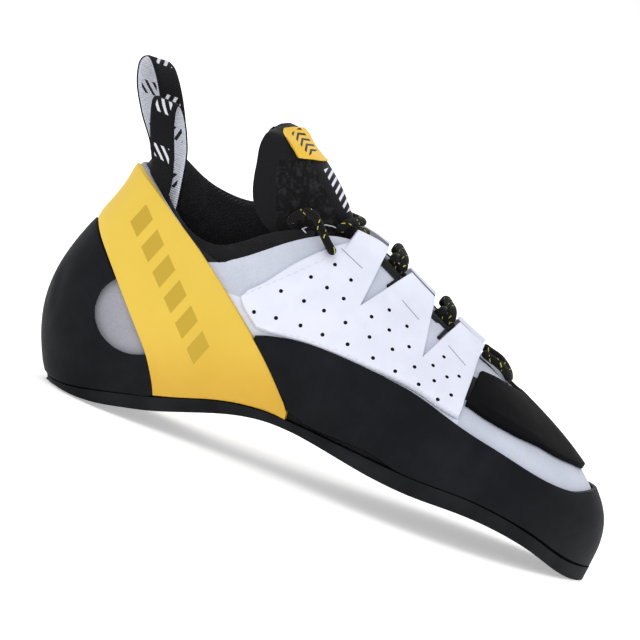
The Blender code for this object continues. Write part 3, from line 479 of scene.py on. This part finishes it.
def strap_rubber():
    """Yellow rubber, paler at the top and darker below in painted shade, with a row of plain slanted bars
    printed down the middle.
    """
    finish = Finish("strap_rubber", 0.5, specular=0.2)
    down = finish.pixels(STRAP_DEPTH)[1]
    tone = finish.steps(finish.noise(30.0, 3.0), 0.3, 0.7)
    high, low = finish.between(tone, *STRAP_LIT_YELLOWS), finish.between(tone, *STRAP_SHADED_YELLOWS)
    # Painted shade: the strap's yellow darkens from its top towards its lower edge
    yellow = finish.between(finish.steps(down, *STRAP_SHADE_ROWS), high, low)
    bars = finish.row(*finish.line(STRAP_DEPTH, *STRAP_LINE), **STRAP_BARS)
    finish.colour(finish.between(bars, yellow, STRAP_PRINT))
    finish.relief(finish.noise(2100.0, 2.0) + finish.noise(300.0, 2.0) + bars * 0.6, 0.00004)
    return finish.material


def badge_rubber():
    """Yellow rubber with a short row of black chevrons."""
    finish = Finish("badge_rubber", 0.5, specular=0.2)
    chevrons = finish.row(*finish.line(TONGUE_DEPTH, *BADGE_LINE), **BADGE_CHEVRONS, bent=True)
    yellow = finish.between(finish.noise(60.0), *BADGE_YELLOWS)
    finish.colour(finish.between(chevrons, yellow, grey(0.012)))
    finish.relief(finish.noise(1800.0, 2.0) + chevrons * 0.5, 0.00005)
    return finish.material


def microfibre():
    """Brushed grey microfibre, with a white hem, black fields on the outer side and painted shade darkening
    the heel.
    """
    finish = Finish("grey_microfibre", 0.82, sheen=0.15, specular=0.2)
    fibres = finish.noise(1.0, 4.0, 0.65, finish.stretched((900.0, 1500.0, 2600.0)))
    clouds = finish.noise(70.0, 3.0)
    tone = finish.steps(fibres * 0.6 + clouds * 0.4, 0.32, 0.66)
    across = finish.pixels(SHELL_DEPTH)[0]
    # Painted shade: the grey is darker towards the heel window than on the rest of the shell
    heel, shell = finish.between(tone, *HEEL_SHADED_GREYS), finish.between(tone, *SHELL_GREYS)
    cloth = finish.between(finish.steps(across, *HEEL_SHADE_END), heel, shell)
    hem, toe, arch, band = (
        finish.field(SHELL_DEPTH, edges) for edges in (HEM_FIELD, TOE_FIELD, ARCH_FIELD, BAND_FIELD)
    )
    cloth = finish.between(hem, cloth, HEM_WHITE)
    outer_side = finish.ahead() < 0.0
    black = arch.over((toe * outer_side).over(band * outer_side))
    finish.colour(finish.between(black, cloth, grey(0.010, 1.1)))
    finish.relief(fibres + clouds * 0.5, 0.00010)
    return finish.material


def white_synthetic():
    """Coated synthetic leather: a tight grain of small cells, smooth and faintly glossy."""
    finish = Finish("white_synthetic", 0.5, specular=0.25)
    grain = finish.cells(1700.0)
    tone = finish.steps(finish.noise(90.0, 3.0), 0.3, 0.7)
    finish.colour(finish.between(tone, *PANEL_WHITES))
    finish.feed("Roughness", 0.44 + finish.noise(500.0) * 0.12)
    finish.relief(grain * 0.7 + finish.noise(260.0, 2.0), 0.00006)
    return finish.material


def lining_knit():
    """Stretch knit: fine wales beside courses, black with a faint sheen, and paler on the inner side as
    painted light where the mouth's far wall lies in shade.
    """
    finish = Finish("lining_knit", 0.9, sheen=0.12, specular=0.1)
    inputs = {"Vector": finish.place, "Scale": 400.0, "Distortion": 1.2}
    wales, rows = (finish.node("TexWave", {"bands_direction": way}, inputs) for way in "XZ")
    cloth = wales * 0.5 + rows * 0.5
    worn = finish.steps(finish.noise(200.0, 4.0, 0.7), 0.5, 0.7)
    tone = cloth * 0.5 + worn * 0.5
    outside = finish.between(tone, grey(0.006, 1.1), grey(0.017, 1.15))
    # Painted light: the inner side, the far wall seen inside the mouth, gets paler greys than the outer side
    inside = finish.between(tone, grey(0.018, 1.1), grey(0.038, 1.15))
    finish.colour(finish.between(finish.steps(finish.ahead(), -0.012, 0.004), outside, inside))
    finish.relief(cloth + finish.noise(900.0) * 0.4, 0.00018)
    return finish.material


def tongue_mesh():
    """The tongue's cloths: mottled mesh, smooth cloth behind it and a woven band in front."""
    finish = Finish("tongue_mesh", 0.85, sheen=0.08, specular=0.12)
    across, down = finish.pixels(TONGUE_DEPTH)
    fold = 276.0 + finish.steps(down, 190.0, 120.0) * 7.0
    plain = (across < fold).over(down < 160.0)
    pores = finish.cells(620.0)
    patches = finish.steps(finish.noise(330.0, 4.0, 0.7), 0.46, 0.66)
    mesh = finish.between(finish.steps(pores, 0.15, 0.6) * patches, grey(0.003, 1.2), grey(0.019, 1.15))
    smooth_cloth = finish.between(finish.noise(1400.0), grey(0.0045, 1.15), grey(0.009, 1.2))
    cloth = finish.between(plain, mesh, smooth_cloth)
    along, aside = finish.line(BAND_DEPTH, *BAND_LINE)
    band = (abs(aside + 2.0) < 9.5) * (along > -8.0)
    woven = finish.between(((along + aside) * 0.8).wave(), grey(0.004, 1.1), grey(0.010, 1.2))
    cloth = finish.between(band, cloth, woven)
    dashes = finish.row(along, aside, **BAND_DASHES)
    finish.colour(finish.between(dashes, cloth, BAND_WHITE))
    height = (pores + patches * 0.6) * (1.0 - plain) * (1.0 - band) + plain * 1.3 + band * 1.5
    finish.relief(height + finish.noise(1500.0) * 0.15, 0.00032)
    return finish.material


def lace_cord():
    """Braided polyester: crossing black yarns, with short yellow picks here and there."""
    finish = Finish("lace_cord", 0.75, sheen=0.04, specular=0.1)
    place = finish.node("UVMap")
    turn, run = (finish.node("SeparateXYZ", {}, {0: place}, k) for k in (0, 1))
    one = (turn * 6.0 + run * (3.0 / YARN_RUN)).wave()
    two = (turn * 6.0 - run * (3.0 / YARN_RUN)).wave()
    weave = one.over(two)
    yarn = finish.between(finish.steps(weave, 0.35, 1.0), grey(0.0015), grey(0.008))
    twist = (turn * 2.0 - run * (1.0 / FLECK_RUN)).part()
    picks = ((run * (2.6 / FLECK_RUN)).part() < 0.52) * (twist < 0.10)
    rests = (run * (0.45 / FLECK_RUN) + finish.noise(60.0) * 1.2).part() < 0.62
    finish.colour(finish.between(picks * rests, yarn, PICK_YELLOW))
    finish.relief(weave, 0.00030)
    return finish.material


def webbing():
    """Ribbed webbing: black outside with pale bars, light grey inside with dark ones."""
    finish = Finish("loop_webbing", 0.85, sheen=0.03, specular=0.08)
    run, across, inside = (finish.marked(name) for name in ("run", "across", "inside"))
    ribs = (run * (1 / LOOP_RIB)).wave()
    tone = ribs * 0.6 + finish.noise(2000.0) * 0.4
    black = finish.between(tone, grey(0.003, 1.1), grey(0.010, 1.3))
    pale = finish.between(tone, *WEBBING_LIGHTS)
    bars = ((across * 1.6 + run * 190.0).part() < 0.42) * (abs(across) < 0.62)
    bars = bars * (((run + BAR_START) * (1 / BAR_GAP)).part() < 0.30)
    outside = finish.between(bars, black, WEBBING_BAR)
    under = finish.between(bars, pale, grey(0.02))
    finish.colour(finish.between(inside > 0.5, outside, under))
    finish.relief(ribs + finish.noise(1600.0) * 0.4, 0.00022)
    return finish.material


def insole_fabric():
    """The footbed's lining fabric."""
    finish = Finish("insole_fabric", 0.9, sheen=0.2, specular=0.2)
    weave = finish.cells(900.0)
    finish.colour(finish.between(weave, grey(0.10), grey(0.22)))
    finish.relief(weave, 0.0002)
    return finish.material


def thread(name, colour, roughness=0.6):
    """Twisted sewing thread, tape or piping."""
    finish = Finish(name, roughness, sheen=0.1, specular=0.2)
    twist = finish.noise(2600.0)
    darker = tuple(level * 0.7 for level in colour[:3]) + (1.0,)
    finish.colour(finish.between(twist, darker, colour))
    finish.relief(twist, 0.00006)
    return finish.material


def put(name, data):
    """A new object in the scene."""
    made = bpy.data.objects.new(name, data)
    bpy.context.scene.collection.objects.link(made)
    return made


def camera_axes():
    """The camera's right, up and forward directions, with the photograph's roll."""
    forward = Vector((0.0, math.cos(VIEW_RISE), -math.sin(VIEW_RISE)))
    level = Vector((1.0, 0.0, 0.0))
    over = level.cross(forward)
    right = level * math.cos(VIEW_ROLL) + over * math.sin(VIEW_ROLL)
    up = over * math.cos(VIEW_ROLL) - level * math.sin(VIEW_ROLL)
    return right, up, forward


def place_camera():
    """The camera at the photograph's viewing angle."""
    right, up, forward = camera_axes()
    data = bpy.data.cameras.new("photo_camera")
    data.lens = LENS
    data.sensor_width = SENSOR
    camera = put("photo_camera", data)
    turned = Matrix((right, up, -forward)).transposed().to_4x4()
    camera.matrix_world = Matrix.Translation(VIEW_TARGET - forward * VIEW_DISTANCE) @ turned
    bpy.context.scene.camera = camera


def pixel_place(pixel, depth):
    """The place behind a pixel at a depth along Y."""
    origin, direction = pixel_ray(pixel)
    return origin + direction * ((depth - origin.y) / direction.y)


def pixel_ray(pixel):
    """The camera's place and the direction in which a pixel of the photograph lies."""
    right, up, forward = camera_axes()
    half = SENSOR / LENS / 2
    across = (pixel[0] * 2 / PHOTO_SIDE - 1) * half
    rise = (1 - pixel[1] * 2 / PHOTO_SIDE) * half
    return VIEW_TARGET - forward * VIEW_DISTANCE, (forward + right * across + up * rise).normalized()


def light(name, place, aim, size, power):
    """A soft square studio light."""
    data = bpy.data.lights.new(name, "AREA")
    data.size = size
    data.energy = power
    lamp = put(name, data)
    lamp.location = place
    lamp.rotation_euler = (Vector(aim) - Vector(place)).to_track_quat("-Z", "Y").to_euler()


def make_studio():
    """A white room, a large white floor and three soft lights."""
    bpy.context.scene.view_settings.view_transform = "Standard"
    world = bpy.data.worlds.new("studio")
    world.use_nodes = True
    backdrop = world.node_tree.nodes["Background"].inputs
    backdrop["Color"].default_value = grey(1.0)
    backdrop["Strength"].default_value = 1.0
    bpy.context.scene.world = world
    bpy.ops.object.select_all(action="DESELECT")
    bpy.ops.mesh.primitive_plane_add(size=FLOOR_SIDE)
    floor = bpy.context.object
    floor.name = "floor"
    paper = Finish("studio_floor", 0.9, specular=0.1)
    paper.colour(paper.between(paper.noise(3.0), grey(0.97), grey(0.98)))
    paper.feed("Emission Color", grey(1.0))
    paper.feed("Emission Strength", FLOOR_GLOW)
    floor.data.materials.append(paper.material)
    for name, settings in LIGHTS.items():
        light(name, *settings)


def pick(piece):
    """Makes a piece the one that operators act on."""
    if bpy.context.object and bpy.context.object.mode != "OBJECT":
        bpy.ops.object.mode_set(mode="OBJECT")
    bpy.ops.object.select_all(action="DESELECT")
    piece.select_set(True)
    bpy.context.view_layer.objects.active = piece


def change(piece, kind, **settings):
    """Adds a modifier to a piece and applies it."""
    pick(piece)
    modifier = piece.modifiers.new(kind.lower(), kind)
    for name, value in settings.items():
        setattr(modifier, name, value)
    bpy.ops.object.modifier_apply(modifier=modifier.name)


def smooth(piece, angle=40):
    """Smooth shading with the sharp edges kept."""
    pick(piece)
    bpy.ops.object.shade_smooth_by_angle(angle=math.radians(angle))


def done(piece, material, slot, *nodes):
    """Gives a piece its finish, fixes it to the shoe and hides the nodes that it stands for."""
    if material:
        piece.data.materials.clear()
        piece.data.materials.append(material)
    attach(piece, "root")
    if nodes:
        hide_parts(*nodes)
    return piece


def from_faces(name, corners, faces):
    """A piece from corners and faces."""
    mesh = bpy.data.meshes.new(name)
    mesh.from_pydata([tuple(corner) for corner in corners], [], faces)
    mesh.update()
    return put(name, mesh)


def dress(node, name, rounding=0.0, corner=HARD_ANGLE):
    """A finished copy of a node: its facets smoothed, and its edges kept and rounded."""
    piece = put(name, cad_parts[node].data.copy())
    piece.data.name = name
    pick(piece)
    bpy.ops.mesh.customdata_custom_splitnormals_clear()
    bpy.ops.object.mode_set(mode="EDIT")
    bpy.ops.mesh.select_mode(type="EDGE")
    bpy.ops.mesh.select_all(action="SELECT")
    bpy.ops.mesh.remove_doubles(threshold=MERGE)
    bpy.ops.mesh.mark_sharp(clear=True)
    flat, square = math.radians(45), math.radians(60)
    bpy.ops.mesh.tris_convert_to_quads(face_threshold=flat, shape_threshold=square)
    bpy.ops.mesh.select_all(action="DESELECT")
    sharp = math.radians(corner)
    bpy.ops.mesh.edges_select_sharp(sharpness=sharp)
    bpy.ops.transform.edge_crease(value=1.0)
    bpy.ops.mesh.select_mode(type="VERT")
    bpy.ops.object.mode_set(mode="OBJECT")
    change(piece, "SUBSURF", levels=FINENESS, render_levels=FINENESS)
    if rounding:
        change(piece, "BEVEL", width=rounding, segments=2, limit_method="ANGLE", angle_limit=sharp)
    smooth(piece)
    return piece


def corners_of(piece):
    """The places of a piece's corners."""
    return np.array([corner.co for corner in piece.data.vertices])


def move(piece, corners):
    """Puts a piece's corners in other places."""
    piece.data.vertices.foreach_set("co", corners.ravel())
    piece.data.update()


def tree_of(*pieces):
    """A search tree over the faces of pieces."""
    corners, faces = [], []
    for piece in pieces:
        first = len(corners)
        corners += [corner.co for corner in piece.data.vertices]
        faces += [[first + k for k in face.vertices] for face in piece.data.polygons]
    return BVHTree.FromPolygons(corners, faces)


def snug(piece, other, gap):
    """Draws the part of a piece that is nearest to another against it, less and less up to a reach."""
    near, reach = gap
    tree = tree_of(other)
    for corner in piece.data.vertices:
        place, _, _, distance = tree.find_nearest(corner.co, reach)
        if place is None or distance < CLOSE:
            continue
        kept = CLOSE
        if distance > near:
            kept += (distance - near) * (reach - CLOSE) / (reach - near)
        corner.co = place + (corner.co - place) * (kept / distance)
    piece.data.update()


class Surface:
    """The faces of finished pieces, on which details are placed by pixels of the photograph."""

    def __init__(self, *pieces):
        self.tree = tree_of(*pieces)

    def at(self, pixel, side=OUTER):
        """The place and normal at a pixel, or beside it on the inner side, if anything is there."""
        origin, direction = pixel_ray(pixel)
        place, normal = self.tree.ray_cast(origin, direction)[:2]
        if place is not None and side == INNER:
            beside = Vector((place.x, 1.0, place.z))
            place, normal = self.tree.ray_cast(beside, Vector((0.0, -1.0, 0.0)))[:2]
        return place and (place, normal)

    def walk(self, pixels, side, step):
        """Places at even steps along a line of pixels."""
        found = []
        for start, end in zip(pixels, pixels[1:]):
            count = max(2, int(math.dist(start, end) * 3))
            for k in range(count):
                share = k / count
                pixel = tuple(a + (b - a) * share for a, b in zip(start, end))
                spot = self.at(pixel, side)
                if spot and (not found or (spot[0] - found[-1][0]).length >= step):
                    found.append(spot)
        return found


def press(piece, strokes):
    """Presses soft troughs into a piece, or raises ridges where the depth is below 0."""
    surface = Surface(piece)
    corners = corners_of(piece)
    outs = np.array([corner.normal for corner in piece.data.vertices])
    for line, width, depth in strokes:
        spots = np.array([place for place, _ in surface.walk(line, OUTER, PRESS_STEP)])
        if not len(spots):
            continue
        away = np.full(len(corners), np.inf)
        for spot, share in zip(spots, np.linspace(0.0, 1.0, len(spots))):
            ends = 1.0 + 2.0 * (2.0 * share - 1.0) ** 4
            away = np.minimum(away, np.sqrt(((corners - spot) ** 2).sum(axis=1)) * ends)
        corners -= outs * (depth * np.exp(-((away / width) ** 2)))[:, None]
    move(piece, corners)


def nudge(piece, *pushes):
    """Pushes soft regions of a piece across the view.

    Each is a pixel, its depth along Y, how far it spreads and its shift, both in pixels.
    """
    right, up, _ = camera_axes()
    corners = corners_of(piece)
    moved = corners.copy()
    for pixel, depth, spread, shift in pushes:
        centre = np.array(pixel_place(pixel, depth))
        near = np.exp(-((corners - centre) ** 2).sum(axis=1) / (spread * PIXEL) ** 2)
        moved += near[:, None] * np.array((right * shift[0] - up * shift[1]) * PIXEL)
    move(piece, moved)


def slide(piece, under, *pushes):
    """Nudges parts of a layer along the piece under it, and keeps its height over that piece."""
    tree = tree_of(under)
    before = [corner.co.copy() for corner in piece.data.vertices]
    nudge(piece, *pushes)
    for corner, old in zip(piece.data.vertices, before):
        if (corner.co - old).length > LEAST_SLIDE:
            place, normal = tree.find_nearest(old)[:2]
            height = (old - place).dot(normal)
            place, normal = tree.find_nearest(corner.co)[:2]
            corner.co = place + normal * height
    piece.data.update()


def along_lines(under, lines):
    """Pushes over a piece along lines of pixels, close enough to add up to each line's shift."""
    surface = Surface(under)
    pushes = []
    for start, end, shift in lines:
        count = max(1, round(math.dist(start, end) / PUSH_GAP))
        part = tuple(way / PUSH_SUM for way in shift)
        for k in range(count):
            share = (k + 0.5) / count
            pixel = tuple(a + (b - a) * share for a, b in zip(start, end))
            spot = surface.at(pixel)
            if spot:
                pushes.append((pixel, spot[0].y, PUSH_SPREAD, part))
    return pushes


def template(shape, scale=(1.0, 1.0, 1.0), **settings):
    """The scaled corners and the faces of a plain shape, to be repeated."""
    bpy.ops.object.select_all(action="DESELECT")
    shape(**settings)
    made = bpy.context.object
    corners = corners_of(made) * np.array(scale)
    faces = [tuple(face.vertices) for face in made.data.polygons]
    bpy.data.objects.remove(made)
    return corners, faces


def repeat(name, shape, places):
    """One piece of copies of a shape, each at a place with its own along and out directions."""
    corners, faces = shape
    all_corners, all_faces = [], []
    for place, along, out in places:
        across = out.cross(along).normalized()
        out = along.cross(across).normalized()
        axes = np.array((along.normalized(), across, out))
        first = len(all_corners)
        all_corners += list(corners @ axes + np.array(place))
        all_faces += [tuple(first + k for k in face) for face in faces]
    piece = from_faces(name, all_corners, all_faces)
    smooth(piece)
    return piece


def stitch_row(name, surface, lines, material, slot, sides, slant=0.0, step=STITCH + STITCH_GAP):
    """Rows of stitches along lines of pixels, half sunk into a surface."""
    places = []
    for side in sides:
        for line in lines:
            spots = surface.walk(line, side, step)
            for (start, out), (end, _) in zip(spots, spots[1:]):
                along = (end - start).normalized()
                along = Matrix.Rotation(slant, 3, out) @ along
                places.append(((start + end) / 2 + out * THREAD * 0.12, along, out))
    ball = bpy.ops.mesh.primitive_uv_sphere_add
    shape = template(ball, (STITCH, THREAD, THREAD * 0.8), segments=8, ring_count=6, radius=0.5)
    return done(repeat(name, shape, places), material, slot)


def smooth_route(points, step):
    """A smooth curve through points, at steps of about one length."""
    points = [Vector(point) for point in points]
    ends = [points[0] * 2 - points[1], *points, points[-1] * 2 - points[-2]]
    route = []
    for a, b, c, d in zip(ends, ends[1:], ends[2:], ends[3:]):
        count = max(1, round((c - b).length / step))
        for k in range(count):
            u = k / count
            route.append(b + 0.5 * u * (c - a + u * (2 * a - 5 * b + 4 * c - d + u * (3 * (b - c) + d - a))))
    return [*route, points[-1]]


def ring_faces(count, sides):
    """The faces between the last two rings of so many corners."""
    last = count - sides
    pairs = [(n, (n + 1) % sides) for n in range(sides)]
    return [(last + n - sides, last + m - sides, last + m, last + n) for n, m in pairs]


def end_faces(first, count, sides):
    """The faces over the first and the last ring."""
    return [tuple(range(first, first + sides))[::-1], tuple(range(count - sides, count))]


def tubes(name, routes, radius, sides):
    """Tubes along routes, with rounded ends and a map of the turn and of the run along each."""
    corners, faces, turns = [], [], []
    for route in routes:
        side = (route[1] - route[0]).orthogonal()
        lead = [0.0]
        for here, there in zip(route, route[1:]):
            lead.append((there - here).length + lead[-1])
        for k, point in enumerate(route):
            along = (route[min(k + 1, len(route) - 1)] - route[max(k - 1, 0)]).normalized()
            side = (side - along * along.dot(side)).normalized()
            over = along.cross(side)
            near = min(lead[k], lead[-1] - lead[k], radius) / radius
            full = radius * math.sqrt(max(LEAST_END, 1 - (1 - near) ** 2))
            for n in range(sides):
                angle = n / sides * math.tau
                corners.append(point + (side * math.cos(angle) + over * math.sin(angle)) * full)
            if k:
                faces += ring_faces(len(corners), sides)
                for n in range(sides):
                    left, right = n / sides, (n + 1) / sides
                    low, high = lead[k - 1:k + 1]
                    turns += [(left, low), (right, low), (right, high), (left, high)]
        faces += end_faces(len(corners) - len(route) * sides, len(corners), sides)
        turns += [(0.5, 0.0)] * (sides * 2)
    piece = from_faces(name, corners, faces)
    layer = piece.data.uv_layers.new(name="UVMap")
    layer.data.foreach_set("uv", [part for pair in turns for part in pair])
    smooth(piece, 70)
    return piece


def piping(name, surface, lines, radius, material, slot, lift=0.0, sides=(OUTER,)):
    """Thin round piping along lines of pixels, lying on a surface."""
    routes = []
    for side in sides:
        for line in lines:
            spots = surface.walk(line, side, PIPING_STEP)
            if len(spots) > 2:
                routes.append(smooth_route([place + out * lift for place, out in spots], LOOP_STEP))
    return done(tubes(name, routes, radius, PIPING_SIDES), material, slot)


def make_laces(cord):
    """The laces: two free tails, the crossings over the tongue and the turns at both its ends."""

    def lace(name, routes, radius, *nodes):
        return done(tubes(name, routes, radius, LACE_SIDES), cord, "lace_cord", *nodes)

    for side, points in LACE_TAILS.items():
        route = smooth_route(points, LACE_STEP)
        piece = lace("lace_tail_" + side, [route], LACE / 2, "lace_end_" + side)
        length = sum((b - a).length for a, b in zip(route, route[1:]))
    runs = [[pixel_place(*place) for place in places] for places in LACE_RUNS]
    lace("lace_runs", [smooth_route(points, LACE_STEP) for points in runs], LACE * RUN_LACE)
    roots = [(LACE_ROOTS[side], *points[:2]) for side, points in LACE_TAILS.items()]
    lace("lace_roots", [smooth_route(points, LACE_STEP) for points in roots], LACE * HIDDEN_LACE)
    for level, strands in CROSSINGS.items():
        routes = []
        for start, end, bow in strands:
            points = []
            for k in range(CROSSING_STEPS + 1):
                share = k / CROSSING_STEPS
                lift = (1 - (2 * share - 1) ** 6) * bow
                points.append(Vector(start).lerp(Vector(end), share) + Vector((0, 0, lift)))
            routes.append(smooth_route(points, LACE_STEP))
        lace("lace_over_tongue_" + level, routes, LACE / 2, "lace_crossing_" + level)
    turn = lace("lace_turn", [smooth_route(LACE_TURN, LACE_STEP)], LACE / 2, "lace_bight")
    nudge(turn, TURN_PUSH)
    lace("lace_loop", [smooth_route(LACE_REAR, LACE_STEP)], LACE / 2, "lace_crossing_rear")


def make_loops(material):
    """The pull loops: flat webbing folded over, with its weave's run marked on the mesh."""
    across = [k / LOOP_COLUMNS - 1 for k in range(2 * LOOP_COLUMNS + 1)]
    ring = [(a, 1) for a in across] + [(a, -1) for a in across[-2:0:-1]]
    for side, ((edge_x, edge_y), slant, points) in LOOPS.items():
        within = 1 if side == "outer" else -1
        route = smooth_route(points, LOOP_STEP)
        foot, top = points[0][2], max(point[2] for point in points)
        corners, faces, runs, widths, insides = [], [], [], [], []
        place = 0.0
        middle = len(route) // 2
        for k, point in enumerate(route):
            along = (route[min(k + 1, len(route) - 1)] - route[max(k - 1, 0)]).normalized()
            tilt = slant * max(0.0, 1 - (point.z - foot) / (top - foot) / LOOP_FOOT) * (k < middle)
            edge = Vector((edge_x, edge_y, tilt))
            out = along.cross(edge).normalized()
            place += (point - route[max(k - 1, 0)]).length
            for a, face in ring:
                thick = LOOP_THICKNESS / 2 * math.sqrt(max(0.0, 1 - abs(a) ** 8))
                corners.append(point + edge * (a * LOOP_WIDTH / 2) + out * (thick * face))
                runs.append(place)
                widths.append(a)
                insides.append(1.0 if face == within and abs(a) < 0.99 else 0.0)
            if k:
                faces += ring_faces(len(corners), len(ring))
        faces += end_faces(0, len(corners), len(ring))
        piece = from_faces("webbing_loop_" + side, corners, faces)
        for name, values in (("run", runs), ("across", widths), ("inside", insides)):
            piece.data.attributes.new(name, "FLOAT", "POINT").data.foreach_set("value", values)
        pick(piece)
        bpy.ops.object.mode_set(mode="EDIT")
        bpy.ops.mesh.select_all(action="SELECT")
        bpy.ops.mesh.normals_make_consistent(inside=False)
        bpy.ops.object.mode_set(mode="OBJECT")
        smooth(piece, 60)
        done(piece, material, "loop_webbing", "pull_loop_" + side)


def punch(panel, surface, side, dark):
    """Punches the panel's rows of round holes as blind pits with dark walls."""
    pin = bpy.ops.mesh.primitive_cylinder_add
    shape = template(pin, vertices=16, radius=HOLE / 2, depth=HOLE_DEPTH * 2)
    spots = [spot for spot in (surface.at(pixel, side) for pixel in HOLES) if spot]
    places = [(place, out.orthogonal(), out) for place, out in spots]
    cutter = repeat("hole_cutter", shape, places)
    cutter.data.materials.append(dark)
    panel.data.materials.append(dark)
    settings = {"operation": "DIFFERENCE", "solver": "EXACT", "material_mode": "TRANSFER"}
    change(panel, "BOOLEAN", object=cutter, **settings)
    bpy.data.objects.remove(cutter)


def make_tape(upper, material):
    """The black tape over the throat's edge, which shows in the notches and behind the tabs."""
    tree = tree_of(upper)
    for side, points in THROAT.items():
        route = smooth_route(points, TAPE_STEP)
        corners, faces = [], []
        for k, rim in enumerate(route):
            for drop in TAPE_ROWS:
                target = rim + Vector((0.0, side * drop * TAPE_SLOPE[0], -drop * TAPE_SLOPE[1]))
                place, normal = tree.find_nearest(target)[:2]
                corners.append(place + normal * TAPE_LIFT)
            if k:
                first = len(corners) - 2 * len(TAPE_ROWS)
                for n in range(len(TAPE_ROWS) - 1):
                    low = first + n + len(TAPE_ROWS)
                    faces.append((first + n, first + n + 1, low + 1, low))
        tape = from_faces("throat_tape_" + SIDES[side], corners, faces)
        change(tape, "SOLIDIFY", thickness=TAPE, offset=0.0)
        smooth(tape)
        done(tape, material, "lining_knit")


def make_panels(upper, shadow):
    """The white side panels with their tabs, holes and seams."""
    white = white_synthetic()
    panels = []
    for side, name in SIDES.items():
        panel = dress("eyestay_" + name, "lace_panel_" + name, SHEET_EDGE)
        snug(panel, upper, ON_SHELL)
        if side == OUTER:
            slide(panel, upper, *along_lines(upper, PANEL_SLIDES))
        panel.data.materials.clear()
        panel.data.materials.append(white)
        panels.append(panel)
    surface = Surface(*panels)
    pale = thread("white_thread", WHITE_THREAD)
    seam = thread("seam_shadow", SEAM_GREY)
    stitch_row("panel_stitches", surface, PANEL_STITCHES, pale, "white_synthetic", (OUTER, INNER))
    piping("tab_seams", surface, PANEL_SEAMS, SEAM, seam, "white_synthetic", sides=(OUTER, INNER))
    for panel, (side, name) in zip(panels, SIDES.items()):
        punch(panel, surface, side, shadow)
        smooth(panel)
        done(panel, None, "white_synthetic", "eyestay_" + name)


def make_rubber(upper, sole):
    """The rubber over the upper: the yellow strap, and the black rubber at heel, forefoot and toe."""
    strap, rand, heel, patch = (dress(node, name, SHEET_EDGE) for node, name in (
        ("heel_strap", "tension_strap"), ("rand", "forefoot_rand"), ("heel_rand", "heel_rubber"),
        ("toe_patch", "toe_rubber"),
    ))
    for piece in (strap, rand, heel, patch):
        snug(piece, upper, ON_SHELL)
        snug(piece, sole, ON_SOLE)
    for piece in (rand, heel):
        snug(piece, strap, BESIDE)
    slide(patch, upper, *along_lines(upper, PATCH_SLIDES))
    press(heel, HEEL_CREASES)
    black = rubber("rand_rubber", *RAND_BLACKS)
    toe_black = rubber("toe_rubber", grey(0.0025, 1.3), grey(0.004, 1.3), 0.6, 0.04)
    done(strap, strap_rubber(), "strap_rubber", "heel_strap")
    done(rand, black, "rand_rubber", "rand")
    done(heel, black, "rand_rubber", "heel_rand")
    done(patch, toe_black, "rand_rubber", "toe_patch")


def make_padding(upper, knitted):
    """The cuff in the mouth and the tongue with its badge."""
    cuff = dress("collar_cuff", "stretch_cuff")
    snug(cuff, upper, IN_MOUTH)
    press(cuff, CUFF_CREASES)
    done(cuff, knitted, "lining_knit", "collar_cuff")
    tongue = dress("tongue", "padded_tongue", corner=PADDED_ANGLE)
    nudge(tongue, *TONGUE_PUSHES)
    press(tongue, TONGUE_CREASES)
    done(tongue, tongue_mesh(), "tongue_mesh", "tongue")
    badge = dress("tongue_tab", "tongue_badge", SHEET_EDGE)
    slide(badge, tongue, *BADGE_PUSHES)
    snug(badge, tongue, ON_TONGUE)
    done(badge, badge_rubber(), "strap_rubber", "tongue_tab")
    return cuff, tongue


def main():
    place_camera()
    make_laces(lace_cord())
    make_studio()
    black = rubber("sole_rubber", *SOLE_BLACKS, 0.55)
    sole = done(dress("outsole", "moulded_sole", SOLE_EDGE), black, "sole_rubber", "outsole")
    upper = done(dress("upper", "lasted_upper", SHEET_EDGE), microfibre(), "grey_microfibre", "upper")
    press(upper, UPPER_CREASES)
    done(dress("insole", "footbed"), insole_fabric(), "insole_fabric", "insole")
    make_rubber(upper, sole)
    knitted = lining_knit()
    cuff, tongue = make_padding(upper, knitted)
    make_loops(webbing())
    make_tape(upper, knitted)
    dark = Finish("hole_shadow", 0.9, specular=0.1)
    dark.colour(dark.between(dark.noise(800.0), grey(0.012), grey(0.022)))
    make_panels(upper, dark.material)
    pale, dull = thread("pale_thread", PALE_THREAD), thread("dull_thread", grey(0.07))
    around, shell, knit = Surface(upper, cuff, tongue), Surface(upper), Surface(cuff)
    piping("throat_piping", around, PIPING_LINES, PIPING, pale, "lining_knit", PIPING_LIFT)
    piping("notch_backing", shell, NOTCH_BACKINGS, BACKING, knitted, "lining_knit", BACKING_LIFT)
    stitch_row("cuff_stitches", knit, CUFF_STITCHES, dull, "lining_knit", (OUTER,), CUFF_SLANT, CUFF_STEP)


main()
